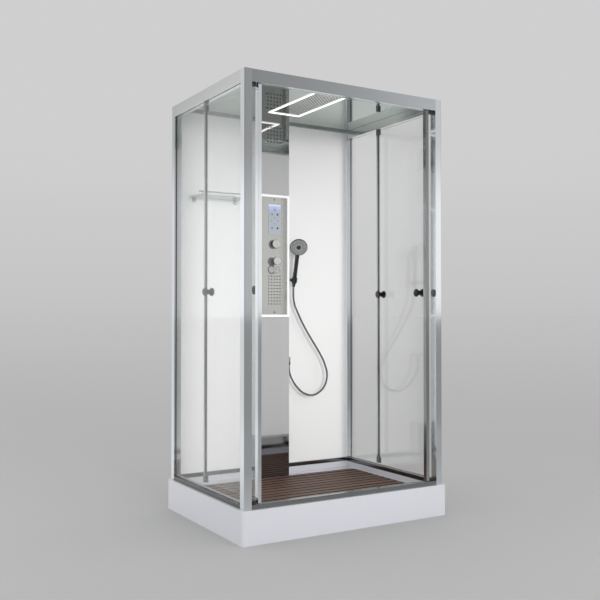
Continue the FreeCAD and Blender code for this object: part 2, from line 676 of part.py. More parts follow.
# Roof: a mirror sheet in the rebates of the beams, with the rain head and light
def make_roof():
    edge_x = "frame_x - beam_depth + roof_seat - fit_gap"
    sheet = block("roof_sheet", (f"-({edge_x})", edge_x),
                  ("beam_depth - roof_seat + fit_gap - frame_y",
                   "rear_face + roof_seat - fit_gap"), ("roof_level", "roof_back"))
    corners = []
    for x in (("-frame_x", "fit_gap - clear_x"), ("clear_x - fit_gap", "frame_x")):
        for y in (("-frame_y", "fit_gap - clear_y"), ("clear_y - fit_gap", "frame_y")):
            corners.append(block(f"roof_corner{len(corners)}", x, y,
                                 ("roof_level - overrun", "roof_back + overrun")))
    opening = block("roof_opening", ("-rain_x - fit_gap", "rain_x + fit_gap"),
                    ("rain_front - fit_gap", "rain_back + fit_gap"),
                    ("roof_level - overrun", "roof_back + overrun"))
    hole = rod("roof_riser_hole", "riser_radius + fit_gap", "0", "riser_y",
               ("roof_level - overrun", "roof_back + overrun"))
    node("roof_panel", cut("roof", sheet, gather("roof_corners", *corners), opening, hole))
    make_rain_head()


def ring_block(name, margin, low, high):
    """A block inside the rain head's outline by a margin."""
    return block(name, (f"{margin} - rain_x", f"rain_x - ({margin})"),
                 (f"rain_front + {margin}", f"rain_back - ({margin})"), (low, high))


def make_rain_head():
    outer = ring_block("light_outer", "0", "light_low", "light_high")
    inner = ring_block("light_inner", "light_border", "light_low - overrun", "light_high + overrun")
    step = ring_block("light_step", "light_border - rain_lip", "light_low + light_proud",
                      "light_high + overrun")
    node("ceiling_light", cut("light_ring", outer, inner, step))
    plate = ring_block("rain_sheet", "light_border - rain_lip + fit_gap",
                       "light_low + light_proud", "light_low + light_proud + rain_plate_thick")
    holes = []
    for column in each_side("nozzle_columns_each_side"):
        for line in each_side("nozzle_rows_each_side"):
            holes.append(rod(f"rain_hole{len(holes)}", "nozzle_radius",
                             f"{column} * nozzle_pitch", f"rain_shift + {line} * nozzle_pitch",
                             ("light_low", "light_high")))
    node("rain_plate", cut("rain_sheet_cut", plate, gather("rain_holes", *holes)))
    outer = ring_block("chamber_outer", "-chamber_margin", "roof_back", "chamber_high")
    inner = ring_block("chamber_inner", "light_border - rain_lip", "roof_back - overrun",
                       "chamber_high - chamber_wall")
    inlet = rod("chamber_inlet", "riser_radius + fit_gap", "0",
                ("rain_back - rain_lip - overrun", "rain_back + chamber_margin + overrun"),
                "riser_level")
    node("rain_chamber", cut("chamber", outer, inner, inlet))


def top_jet_grid(name, radius, y):
    """Rods at the places of the jets in the column's top."""
    rods = []
    for column in each_side("jet_columns_each_side"):
        for line in each_side("jet_columns_each_side"):
            rods.append(rod(f"{name}{len(rods)}", radius, f"{column} * top_jet_pitch", y,
                            f"top_jets_level + {line} * top_jet_pitch"))
    return gather(name, *rods)


def top_screw_rods(name, radius, y):
    """Rods at the places of the four screws beside those jets."""
    return gather(name, *[
        rod(f"{name}{k}", radius, f"{side} * top_screw_x", y,
            f"top_jets_level + {end} * top_jets_reach")
        for k, (side, end) in enumerate(((-1, -1), (-1, 1), (1, -1), (1, 1)))])


# Column: a bent sheet channel against the rear wall with a window for the fittings
def make_column():
    outer = block("column_outer", ("-column_x", "column_x"), ("column_face", "panel_in_y"),
                  ("ledge_level", "roof_level"))
    hollow = block("column_hollow", ("column_sheet - column_x", "column_x - column_sheet"),
                   ("column_face + column_sheet", "panel_in_y + overrun"),
                   ("ledge_level - overrun", "roof_level + overrun"))
    notches = gather("column_notches", *[
        block(f"column_notch{k}", ("-column_x - overrun", "column_x + overrun"),
              ("rear_face - fit_gap", "panel_in_y + overrun"), level)
        for k, level in enumerate((("ledge_level - overrun", "rail_level + fit_gap"),
                                   ("rear_beam_level - fit_gap", "roof_level + overrun")))])
    window = block("column_window", ("window_margin - plate_x", "plate_x - window_margin"),
                   ("column_face - overrun", "column_face + column_sheet + overrun"),
                   ("panel_low + panel_border + window_margin",
                    "panel_top - panel_border - window_margin"))
    outlet = rod("column_outlet_hole", "outlet_radius + fit_gap",
                 ("column_x - column_sheet - overrun", "column_x + overrun"), "outlet_y",
                 "outlet_level")
    through = ("column_face - overrun", "sheet_back + overrun")
    jets = top_jet_grid("column_jet_hole", "jet_radius + snug_gap", through)
    screws = top_screw_rods("column_screw_hole", "panel_screw_radius / 2 + snug_gap", through)
    node("column_shell", cut("column", outer, hollow, notches, window, outlet, jets, screws))
    outer = block("panel_light_outer", ("-panel_x", "panel_x"),
                  ("column_face - panel_light_thick", "column_face"), ("panel_low", "panel_top"))
    inner = block("panel_light_inner", ("-plate_x", "plate_x"),
                  ("column_face - panel_light_thick - overrun", "column_face + overrun"),
                  ("panel_low + panel_border", "panel_top - panel_border"))
    node("column_light", cut("panel_light", outer, inner))


def jet_grid(name, radius, y):
    """Rods at the places of the body jets."""
    rods = []
    for column in each_side("jet_columns_each_side"):
        for line in range(int(size("jet_rows"))):
            rods.append(rod(f"{name}{len(rods)}", radius, f"{column} * jet_pitch_x", y,
                            f"jet_top_level - {line} * jet_pitch_z"))
    return gather(name, *rods)


def make_control_plate():
    sheet = block("plate_sheet", ("fit_gap - plate_x", "plate_x - fit_gap"),
                  ("plate_face", "column_face"),
                  ("panel_low + panel_border + fit_gap", "panel_top - panel_border - fit_gap"))
    through = ("plate_face - overrun", "column_face + overrun")
    necks = gather("plate_neck_holes", *[
        rod(f"plate_neck_hole{k}", "valve_neck + fit_gap", "0", through, level)
        for k, level in enumerate(("diverter_level", "mixer_level"))])
    jets = jet_grid("plate_jet_hole", "jet_radius + snug_gap", through)
    screw_levels = ("panel_top - panel_border - panel_screw_inset",
                    "panel_low + panel_border + panel_screw_inset")
    screws = gather("plate_screw_holes", *[
        rod(f"plate_screw_hole{k}", "panel_screw_radius / 2 + snug_gap", "0", through, level)
        for k, level in enumerate(screw_levels)])
    node("control_plate", cut("plate", sheet, necks, jets, screws))
    pieces = []
    for k, level in enumerate(screw_levels):
        head = rod(f"plate_screw_head{k}", "panel_screw_radius", "0",
                   ("plate_face - panel_screw_radius / 2", "plate_face"), level)
        shank = rod(f"plate_screw_shank{k}", "panel_screw_radius / 2", "0",
                    ("plate_face - panel_screw_radius / 2", "column_face"), level)
        pieces.append(fuse(f"plate_screw{k}", head, shank))
    heads = top_screw_rods("top_screw_head", "panel_screw_radius",
                           ("column_face - panel_screw_radius / 2", "column_face"))
    shanks = top_screw_rods("top_screw_shank", "panel_screw_radius / 2",
                            ("column_face - panel_screw_radius / 2",
                             "sheet_back + top_screw_depth"))
    node("plate_screws", gather("plate_screw_set", *pieces, fuse("top_screws", heads, shanks)))
    node("display", block("display_tile", ("-display_width / 2", "display_width / 2"),
                          ("plate_face - display_thick", "plate_face"),
                          ("panel_top - display_drop - display_height",
                           "panel_top - display_drop")))
    tips = jet_grid("jet_tip", "jet_radius", ("plate_face - jet_proud", "plate_face + jet_length"))
    reach = "(jet_columns_each_side * jet_pitch_x + manifold_margin)"
    box = block("manifold", ("-" + reach, reach),
                ("column_face", "column_face + manifold_thick"),
                ("jet_low_level - manifold_margin", "jet_top_level + manifold_margin"))
    low_jets = fuse("jets_on_manifold", box, tips)
    tips = top_jet_grid("top_jet_tip", "jet_radius",
                        ("column_face - jet_proud", "column_face + jet_length"))
    reach = "(top_screw_x + manifold_margin)"
    rise = "(top_jets_reach + manifold_margin)"
    box = block("top_manifold", ("-" + reach, reach),
                ("sheet_back", "sheet_back + manifold_thick"),
                ("top_jets_level - " + rise, "top_jets_level + " + rise))
    sockets = top_screw_rods("top_screw_socket", "panel_screw_radius / 2 + snug_gap",
                             ("sheet_back - overrun", "sheet_back + top_screw_depth + snug_gap"))
    top_jets = cut("top_jets", fuse("jets_on_top_manifold", box, tips), sockets)
    node("body_jets", gather("all_jets", low_jets, top_jets))


# Valves behind the plate, their collars, and the pieces that turn on them
def make_valves():
    body = rod("diverter_body", "valve_radius", "0",
               ("column_face + fit_gap", "column_face + valve_length"), "diverter_level")
    neck = rod("diverter_neck", "valve_neck", "0",
               ("plate_face", "column_face + valve_length / 2"), "diverter_level")
    spindle = rod("diverter_spindle", "spindle_radius", "0",
                  ("collar_face - spindle_length", "column_face"), "diverter_level")
    node("diverter_valve", fuse("diverter", body, neck, spindle))
    body = rod("mixer_body", "valve_radius", "0",
               ("column_face + fit_gap", "column_face + valve_length"), "mixer_level")
    neck = rod("mixer_neck", "valve_neck", "0",
               ("plate_face", "column_face + valve_length / 2"), "mixer_level")
    spindle = rod("mixer_spindle", "spindle_radius", "0",
                  ("collar_face - spindle_length", "column_face"), "mixer_level")
    bar_y = "column_face + (valve_length + inlet_bar_radius) / 2"
    bar = rod("mixer_bar", "inlet_bar_radius", ("-inlet_spacing / 2", "inlet_spacing / 2"), bar_y,
              "mixer_level")
    tails = []
    for k, x in enumerate(("-inlet_spacing / 2", "inlet_spacing / 2")):
        tails += [rod(f"mixer_collar{k}", "inlet_collar", x, (f"{bar_y} - inlet_collar",
                                                          "panel_in_y"), "mixer_level"),
                  rod(f"mixer_tail{k}", "inlet_neck", x, (bar_y, "panel_out_y + overrun"),
                      "mixer_level"),
                  rod(f"mixer_thread{k}", "inlet_radius", x,
                      ("panel_out_y", "frame_y + inlet_reach"), "mixer_level")]
    node("mixer_valve", fuse("mixer", body, neck, spindle, bar, *tails))
    collars = []
    for k, level in enumerate(("diverter_level", "mixer_level")):
        disc = rod(f"collar_disc{k}", "collar_radius", "0", ("collar_face", "plate_face"), level)
        hole = rod(f"collar_hole{k}", "spindle_radius + fit_gap", "0",
                   ("collar_face - overrun", "plate_face + overrun"), level)
        collars.append(cut(f"collar{k}", disc, hole))
    node("valve_collars", gather("collars", *collars))


def knob_profile(radius, length, gap):
    """A knob with a socket, from a gap off the collar outwards."""
    return [("0", "spindle_radius + bore_gap"), ("0", radius), (f"-({length}) + dial_round", radius),
            (f"-({length})", f"{radius} - dial_round"), (f"-({length})", "0"),
            (f"-spindle_length + {gap} - bore_gap", "0"),
            (f"-spindle_length + {gap} - bore_gap", "spindle_radius + bore_gap")]


def make_knobs():
    gap = "lever_gap"
    dial = turned("diverter_knob_body", knob_profile("dial_radius", "dial_length", gap))
    dial.Placement = Placement(Vector(0, 0, 0), Rotation(Vector(0, 0, 1), 90))
    seat(dial, "0", f"collar_face - {gap}", "diverter_level")
    node("diverter_knob", dial)
    hub = turned("mixer_hub_turned", knob_profile("mixer_hub_radius", "mixer_hub_length", gap))
    hub.Placement = Placement(Vector(0, 0, 0), Rotation(Vector(0, 0, 1), 90))
    seat(hub, "0", f"collar_face - {gap}", "mixer_level")
    face = f"collar_face - {gap} - mixer_hub_length"
    slot = block("hub_slot", ("-lever_neck - fit_gap", "lever_neck + fit_gap"),
                 (f"{face} - overrun", f"{face} + lever_slot_depth"),
                 ("mixer_level - mixer_hub_radius - overrun", "mixer_level + lever_slot_rise"))
    node("mixer_hub", cut("mixer_hub_cut", hub, slot))
    root = rod("lever_root", "lever_neck", ("-lever_neck", "lever_neck"),
               f"{face} + fit_gap", "mixer_level")
    stem = rod("lever_stem_rod", "lever_stem", "0", (f"{face} - lever_cap_gap - lever_cap_thick / 2",
                                                   f"{face} + fit_gap"), "mixer_level")
    cap = turned("lever_cap", [("0", "0"), ("0", "lever_cap_radius"),
                               ("dial_round - lever_cap_thick", "lever_cap_radius"),
                               ("-lever_cap_thick", "lever_cap_radius - dial_round"),
                               ("-lever_cap_thick", "0")])
    cap.Placement = Placement(Vector(0, 0, 0), Rotation(Vector(0, 0, 1), 90))
    seat(cap, "0", f"{face} - lever_cap_gap", "mixer_level")
    ring = doc.addObject("Part::Torus", "lever_ring")
    bind(ring, Radius1="ring_radius", Radius2="ring_wire")
    ring.Placement = Placement(Vector(0, 0, 0), Rotation(Vector(1, 0, 0), 90))
    seat(ring, "0", f"{face} - lever_cap_gap - lever_cap_thick / 2", "mixer_level - ring_drop")
    node("mixer_lever", fuse("lever", root, stem, cap, ring))


# Hand shower, its holder on the column's side, the hose and its outlet
def handset_frame():
    """Where the holder's cup stands and how the handset leans and turns in it."""
    lean = Rotation(Vector(0, 1, 0), size("side_angle")) \
        .multiply(Rotation(Vector(1, 0, 0), size("lean_angle")))
    turn = lean.multiply(Rotation(Vector(0, 0, 1), size("turn_angle")))
    spot = Vector(size("cup_x"), size("cup_y"), size("cup_level"))
    return Placement(spot, lean), Placement(spot, turn)


def make_hand_shower():
    leaning, turned_too = handset_frame()
    cup = rod("cup_outer", "cup_bore + cup_wall", "0", "0", ("-cup_height / 2", "cup_height / 2"))
    bore = rod("cup_hole", "cup_bore", "0", "0",
               ("-cup_height / 2 - overrun", "cup_height / 2 + overrun"))
    mouth = block("cup_slot", ("-cup_mouth / 2", "cup_mouth / 2"),
                  ("-cup_bore - cup_wall - overrun", "0"),
                  ("-cup_height / 2 - overrun", "cup_height / 2 + overrun"))
    clip = cut("cup", cup, bore, mouth)
    clip.Placement = leaning
    arm = rod("holder_arm", "arm_radius", ("column_x", "cup_x"), "cup_y", "cup_level")
    hole = gather("holder_arm_clear",
                  rod("holder_arm_hole", "cup_bore", "0", "0", ("-cup_height", "cup_height")))
    hole.Placement = leaning
    disc = rod("holder_disc", "bracket_radius", ("column_x", "column_x + bracket_thick"), "cup_y",
               "cup_level")
    node("handset_holder", fuse("holder", disc, cut("holder_arm_cut", arm, hole), clip))
    handle = turned("handle_body", [
        ("-handle_low", "0"), ("-handle_low", "handle_radius - fit_gap"),
        ("cup_height / 2", "handle_radius"), ("handle_length / 2", "handle_slim"),
        ("handle_length", "handle_top"), ("handle_length", "0")])
    handle.Placement = Placement(Vector(0, 0, 0), Rotation(Vector(0, 1, 0), -90))
    tilt = Rotation(Vector(1, 0, 0), 90 + size("head_angle"))
    forward = tilt.multVec(Vector(0, 0, 1))
    middle = Vector(0, -size("head_forward"), size("head_distance"))
    head = doc.addObject("Part::Cylinder", "head_disc")
    bind(head, Radius="head_radius", Height="head_thick")
    head.Placement = Placement(middle - forward * (size("head_thick") / 2), tilt)
    doc.recompute()
    rounded = doc.addObject("Part::Fillet", "head_rounded")
    rounded.Base = head
    rear = [k for k, edge in enumerate(head.Shape.Edges, start=1)
            if (edge.CenterOfMass - middle).dot(forward) < -size("head_thick") / 3]
    rounded.Edges = [(k, size("head_round"), size("head_round")) for k in rear]
    whole = fuse("handset_whole", handle, rounded)
    whole.Placement = turned_too
    node("hand_shower", whole)
    face = doc.addObject("Part::Cylinder", "face_disc")
    bind(face, Radius="face_radius", Height="face_thick")
    face.Placement = turned_too.multiply(
        Placement(middle + forward * (size("head_thick") / 2), tilt))
    node("handset_face", face)
    nut = turned("top_nut", nut_profile())
    nut.Placement = leaning.multiply(
        Placement(Vector(0, 0, -size("handle_low")), Rotation(Vector(0, 1, 0), 90)))
    foot_nut = turned("foot_nut", nut_profile())
    foot_nut.Placement = Placement(Vector(0, 0, 0), Rotation(Vector(0, 1, 0), 90))
    seat(foot_nut, "outlet_x", "outlet_y", "outlet_low")
    node("hose_nuts", gather("nut_pair", nut, foot_nut))


def nut_profile():
    """A conical hose nut, along its axis away from the fitting."""
    return [("0", "0"), ("0", "nut_radius"), ("nut_length / 2", "nut_radius"),
            ("nut_length", "nut_tail"), ("nut_length", "0")]


def make_outlet():
    flange = rod("outlet_disc", "outlet_flange", ("column_x", "column_x + outlet_plate"),
                 "outlet_y", "outlet_level")
    stub = rod("outlet_stub", "outlet_radius", ("column_x - outlet_radius", "outlet_x"),
               "outlet_y", "outlet_level")
    drop = rod("outlet_nozzle", "outlet_radius", "outlet_x", "outlet_y",
               ("outlet_low", "outlet_level"))
    knuckle = doc.addObject("Part::Sphere", "outlet_knuckle")
    bind(knuckle, Radius="outlet_radius")
    seat(knuckle, "outlet_x", "outlet_y", "outlet_level")
    node("hose_outlet", fuse("outlet", flange, stub, drop, knuckle))


# Tubes: straight runs joined by tangent arcs
def tube(label, points, radius, share=0.45, bend=None):
    """A tube along a route, each arc as large as its two runs allow."""
    edges = []
    start = points[0]
    radii = []
    for before, corner, after in zip(points, points[1:], points[2:]):
        arrive = corner - before
        leave = after - corner
        shorter = min(arrive.Length, leave.Length)
        turn = arrive.getAngle(leave)
        arc = bend if bend else share * shorter / math.tan(turn / 2)
        back = arc * math.tan(turn / 2)
        first = corner - arrive.normalize() * back
        last = corner + leave.normalize() * back
        bisector = (leave - arrive).normalize()
        centre = corner + bisector * (arc / math.cos(turn / 2))
        middle = centre - bisector * arc
        edges.append(Part.LineSegment(start, first).toShape())
        edges.append(Part.Arc(first, middle, last).toShape())
        radii.append(arc)
        start = last
    edges.append(Part.LineSegment(start, points[-1]).toShape())
    path = Part.Wire(edges)
    direction = points[1] - points[0]
    ring = Part.Wire(Part.Circle(points[0], direction, radius).toShape())
    shape = path.makePipeShell([ring], True, False)
    ideal = math.pi * radius * radius * path.Length
    print(f"{label}: length {path.Length:.1f}, volume share {shape.Volume / ideal:.4f}, radii",
          " ".join(f"{value:.0f}" for value in radii))
    thing = doc.addObject("Part::Feature", label + "_tube")
    thing.Shape = shape
    return thing


# The hose's free route, from below the handset's nut to above the outlet's nut
HOSE_ROUTE = [(158, 383, 1120), (186, 382, 1062), (226, 380, 985), (274, 379, 913),
              (324, 378, 842), (368, 377, 770), (392, 376, 690), (366, 376, 612),
              (292, 377, 569), (216, 378, 590), (160, 379, 646), (124, 380, 712)]


def make_hose():
    leaning, turned_too = handset_frame()
    below = size("handle_low") + size("nut_length")
    top = leaning.multVec(Vector(0, 0, -below))
    next_down = leaning.multVec(Vector(0, 0, -below - size("nut_length")))
    end = Vector(size("outlet_x"), size("outlet_y"), size("outlet_low") - size("nut_length"))
    points = [top, next_down] + [Vector(*spot) for spot in HOSE_ROUTE] + [end]
    node("shower_hose", tube("shower_hose", points, size("hose_radius")))


def make_riser():
    low = Vector(0, size("riser_y"), size("diverter_level") + size("valve_radius"))
    corner = Vector(0, size("riser_y"), size("riser_level"))
    end = Vector(0, size("rain_back") + size("chamber_margin") - size("chamber_wall"),
                 size("riser_level"))
    node("riser_pipe", tube("riser_pipe", [low, corner, end], size("riser_radius"),
                            bend=size("riser_bend")))


# Door leaves: each piece lies along its own X from the pivot, then turns with the leaf
def leaf_seat(thing, side_x):
    """Stands a leaf piece at its pivot, swung to the open angle."""
    angle = size("open_angle") if side_x < 0 else 180 - size("open_angle")
    thing.Placement = Placement(Vector(0, 0, 0), Rotation(Vector(0, 0, 1), angle))
    text = "open_angle" if side_x < 0 else "180 - open_angle"
    thing.setExpression("Placement.Rotation.Angle", bound(text))
    return seat(thing, "-pivot_x" if side_x < 0 else "pivot_x", "pivot_y", "0")


def make_leaf(name, side_x):
    hole_y = ("-stile_thick", "stile_thick")
    level = ("leaf_low", "leaf_high")
    span = ("-glass_half - fit_gap", "glass_half + fit_gap")
    outer = block(name + "_stile_outer", ("-stile_half", "stile_half"),
                  ("-stile_thick / 2", "stile_thick / 2"), ("stile_low", "stile_high"))
    slot = block(name + "_stile_slot", ("stile_half - stile_grip", "stile_half + overrun"), span,
                 (f"{level[0]} - fit_gap", f"{level[1]} + fit_gap"))
    pins = [rod(name + "_foot_pin", "pin_radius", "0", "0", ("rail_level - pin_reach", "leaf_low")),
            rod(name + "_head_pin", "pin_radius", "0", "0", ("leaf_high", "beam_level + pin_reach"))]
    stile = fuse(name + "_stile", cut(name + "_stile_cut", outer, slot), *pins)
    node(name + "_hinge_stile", leaf_seat(stile, side_x))
    outer = block(name + "_closing_outer", ("closing_in", "leaf_end"),
                  ("-closing_thick / 2", "closing_thick / 2"), level)
    slot = block(name + "_closing_slot", ("closing_in - overrun", "closing_in + closing_grip"),
                 span, ("leaf_low - overrun", "leaf_high + overrun"))
    node(name + "_closing_stile", leaf_seat(cut(name + "_closing", outer, slot), side_x))
    sheet = block(name + "_sheet", ("stile_half - stile_grip + fit_gap",
                                    "closing_in + closing_grip - fit_gap"),
                  ("-glass_half", "glass_half"), level)
    holes = gather(name + "_stud_holes", *[
        rod(f"{name}_stud_hole{k}", "stud_hole", along, hole_y, "knob_level")
        for k, along in enumerate(KNOB_PLACES)])
    node(name + "_door_glass", leaf_seat(cut(name + "_glass_cut", sheet, holes), side_x))
    strip = block(name + "_seal_strip", ("leaf_end", "leaf_end + meeting_seal"),
                  ("-closing_thick / 4", "closing_thick / 4"), level)
    node(name + "_edge_trim", leaf_seat(gather(name + "_trim", strip, *edge_caps(name)), side_x))
    knobs = [half for tag, along in zip(("edge", "hinge"), KNOB_PLACES)
             for half in knob_halves(f"{name}_{tag}", along)]
    node(f"{name}_door_knobs", leaf_seat(gather(name + "_knobs", *knobs), side_x))


KNOB_PLACES = ("leaf_end - knob_edge_distance", "knob_hinge_distance")


def edge_caps(name):
    """Sleeves round the two ends of the closing stile."""
    caps = []
    for k, (low, high) in enumerate((("leaf_low", "leaf_low + cap_height"),
                                     ("leaf_high - cap_height", "leaf_high"))):
        outer = block(f"{name}_cap_outer{k}", ("leaf_end - cap_reach", "leaf_end"),
                      ("-closing_thick / 2 - cap_wall", "closing_thick / 2 + cap_wall"),
                      (low, high))
        stile = block(f"{name}_cap_stile{k}", ("closing_in - snug_gap", "leaf_end + overrun"),
                      ("-closing_thick / 2", "closing_thick / 2"),
                      (f"{low} - overrun", f"{high} + overrun"))
        sheet = block(f"{name}_cap_sheet{k}", ("leaf_end - cap_reach - overrun", "closing_in"),
                      ("-glass_half", "glass_half"), (f"{low} - overrun", f"{high} + overrun"))
        caps.append(cut(f"{name}_cap{k}", outer, stile, sheet))
    return caps


def knob_halves(tag, along):
    """Two waisted halves on one stud through the glass."""
    halves = []
    for sign in (1, -1):
        side = "outer" if sign > 0 else "inner"
        profile = [("glass_half", "0"), ("glass_half", "knob_neck"),
                   ("glass_half + knob_reach - knob_head", "knob_neck"),
                   ("glass_half + knob_reach - knob_head + knob_round", "knob_radius"),
                   ("glass_half + knob_reach - knob_round", "knob_radius"),
                   ("glass_half + knob_reach", "knob_radius - knob_round"),
                   ("glass_half + knob_reach", "0")]
        half = turned(f"{tag}_{side}_half", profile)
        half.Placement = Placement(Vector(0, 0, 0), Rotation(Vector(0, 0, 1), 90 * sign))
        seat(half, along, "0", "knob_level")
        stud_span = ("-glass_half - knob_reach / 2", "glass_half + fit_gap")
        if sign > 0:
            stud = rod(f"{tag}_stud", "stud_radius", along, stud_span, "knob_level")
            halves.append(fuse(f"{tag}_{side}", half, stud))
        else:
            socket = rod(f"{tag}_socket", "stud_radius", along,
                         ("-glass_half - knob_reach / 2", "0"), "knob_level")
            halves.append(cut(f"{tag}_{side}", half, socket))
    return halves


# Jamb strips and blocks between the posts and the leaves
def make_jambs():
    strips = []
    blocks = []
    for side_x in (-1, 1):
        span = ("-clear_x", "-jamb_end") if side_x < 0 else ("jamb_end", "clear_x")
        depth = ("pivot_y - jamb_block_depth / 2", "pivot_y + jamb_block_depth / 2")
        for low, high in (("rail_level", "rail_level + jamb_block_thick"),
                          ("beam_level - jamb_block_thick", "beam_level")):
            blocks.append(block(f"jamb_block{len(blocks)}", span, depth, (low, high)))
        strips.append(block(f"jamb_strip{len(strips)}", span,
                            ("pivot_y - jamb_thick / 2", "pivot_y + jamb_thick / 2"),
                            ("rail_level + jamb_block_thick", "beam_level - jamb_block_thick")))
    node("jamb_seals", gather("jamb_strips", *strips))
    node("jamb_blocks", gather("jamb_block_set", *blocks))


# Shelf: a glass plate on two arms with a rail along its front
def make_shelf():
    plate = block("shelf_plate", ("-shelf_left", "shelf_right"), ("shelf_front", "panel_in_y"),
                  ("shelf_level", "shelf_level + shelf_thick"))
    node("shelf_glass", plate)
    low = "shelf_level - shelf_arm"
    pieces = []
    for k, x in enumerate(("shelf_inset - shelf_left", "shelf_right - shelf_inset")):
        arm = block(f"shelf_arm{k}", (f"{x} - shelf_arm / 2", f"{x} + shelf_arm / 2"),
                    ("shelf_front - shelf_arm_reach", "panel_in_y"), (low, "shelf_level"))
        rose = rod(f"shelf_rose{k}", "shelf_rose", x,
                   ("panel_in_y - shelf_rose_thick", "panel_in_y"),
                   "shelf_level - shelf_rose")
        upright = rod(f"shelf_upright{k}", "shelf_rail_radius", x,
                      "shelf_front - shelf_bar_out",
                      (low, "shelf_level + shelf_rail_rise"))
        pieces += [arm, rose, upright]
    bar = rod("shelf_bar", "shelf_rail_radius", ("-shelf_left", "shelf_right"),
              "shelf_front - shelf_bar_out", "shelf_level + shelf_rail_rise")
    node("shelf_rail", fuse("shelf_metal", bar, *pieces))


make_tray()
make_tray_frame()
make_drain()
make_deck()
for corner_name, corner_x, corner_y in (("front_left_post", -1, -1), ("front_right_post", 1, -1),
                                        ("rear_left_post", -1, 1), ("rear_right_post", 1, 1)):
    make_post(corner_name, corner_x, corner_y)
make_front_members()
make_side_members("left", -1)
make_side_members("right", 1)
make_rear_members()
make_keys()
make_walls()
make_roof()
make_column()
make_control_plate()
make_valves()
make_knobs()
make_hand_shower()
make_outlet()
make_hose()
make_riser()
make_leaf("left", -1)
make_leaf("right", 1)
make_jambs()
make_shelf()

doc.recompute()
for thing in doc.Objects:
    if "Invalid" in thing.State or "Error" in thing.State:
        raise RuntimeError(f"{thing.Name} failed: {thing.State}")
for thing in NODES:
    if thing.Shape.isNull() or not thing.Shape.isValid():
        raise RuntimeError(f"{thing.Label} has no valid shape")
for thing in NODES:
    thing.Shape.exportStep(f"parts/{thing.Label}.step")
print(len(NODES), "sub-parts")
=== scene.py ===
import math

import bmesh
import bpy
from mathutils import Euler, Matrix, Vector


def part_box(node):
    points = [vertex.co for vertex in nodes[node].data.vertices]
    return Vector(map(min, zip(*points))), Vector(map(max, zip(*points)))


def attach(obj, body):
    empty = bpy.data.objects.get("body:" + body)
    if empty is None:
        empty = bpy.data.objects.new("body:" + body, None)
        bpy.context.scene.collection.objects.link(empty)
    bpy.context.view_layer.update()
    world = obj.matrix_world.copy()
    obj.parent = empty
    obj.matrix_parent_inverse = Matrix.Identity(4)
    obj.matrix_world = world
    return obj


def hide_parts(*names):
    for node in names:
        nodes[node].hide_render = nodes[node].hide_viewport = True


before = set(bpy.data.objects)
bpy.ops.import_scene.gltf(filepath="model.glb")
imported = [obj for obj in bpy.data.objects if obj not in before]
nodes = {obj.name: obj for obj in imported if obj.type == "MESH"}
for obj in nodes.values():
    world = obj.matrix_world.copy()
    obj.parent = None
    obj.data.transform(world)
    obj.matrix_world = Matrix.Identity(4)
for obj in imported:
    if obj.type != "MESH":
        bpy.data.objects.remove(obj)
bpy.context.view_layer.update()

# Metres and degrees. The origin is on the floor under the middle of the tray,
# +X runs to the right along the doors, +Y to the rear wall, +Z up.

# Camera
CAMERA_SPOT = (-2.3215, -3.8317, 1.05705)
CAMERA_YAW = 30.906
CAMERA_PITCH = 0.966
CAMERA_LENS = 49.96
CAMERA_SENSOR = 36

# Hose: its wound ribs, and the route from the handset's nut to the outlet's nut
HOSE_DIAMETER = 0.012
HOSE_SIDES = 14
RIB_PITCH = 0.0042
RIB_DEPTH = 0.0007
RIB_SHAPE = (1.0, 0.9, 0.0, 0.9)
NUT_LENGTH = 0.018
HOSE_ROUTE = [(0.158, 0.383, 1.120), (0.186, 0.382, 1.062), (0.226, 0.380, 0.985),
              (0.274, 0.379, 0.913), (0.324, 0.378, 0.842), (0.368, 0.377, 0.770),
              (0.392, 0.376, 0.690), (0.366, 0.376, 0.612), (0.292, 0.377, 0.569),
              (0.216, 0.378, 0.590), (0.160, 0.379, 0.646), (0.124, 0.380, 0.712)]
OUTLET_END = (0.124, 0.380, 0.758)

# Hand shower: where the cup holds the handle, how it leans and turns there, and its head
CUP_SPOT = (0.154, 0.368, 1.256)
SIDE_ANGLE = 3
LEAN_ANGLE = 8.5
TURN_ANGLE = -25
HANDLE_LOW = 0.022
HEAD_MIDDLE = (0, -0.016, 0.196)
HEAD_ANGLE = 20

# Levels of the two valves, and the faces that new pieces sit on
DIVERTER_LEVEL = 1.457
MIXER_LEVEL = 1.359
DIAL_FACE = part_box("diverter_knob")[0][1]
LEVER_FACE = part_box("mixer_lever")[0][1]
PLATE_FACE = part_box("control_plate")[0][1]
COLUMN_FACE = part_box("column_shell")[0][1]
COLUMN_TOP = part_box("column_shell")[1][2]
RAIN_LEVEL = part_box("rain_plate")[0][2]
DISPLAY_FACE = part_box("display")[0][1]
DISPLAY_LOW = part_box("display")[0][2]
DISPLAY_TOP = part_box("display")[1][2]


def rotation(*turns):
    """A rotation from pairs of axis and degrees, the first applied last."""
    made = Matrix.Identity(4)
    for axis, degrees in turns:
        made = made @ Matrix.Rotation(math.radians(degrees), 4, axis)
    return made


LEANING = Matrix.Translation(CUP_SPOT) @ rotation(("Y", SIDE_ANGLE), ("X", LEAN_ANGLE))
HANDSET = LEANING @ rotation(("Z", TURN_ANGLE))
HEAD = HANDSET @ Matrix.Translation(HEAD_MIDDLE) @ rotation(("X", 90 + HEAD_ANGLE))


# Building blocks of the materials. Each takes the node tree that it adds to.
def grey(value):
    return (value, value, value)


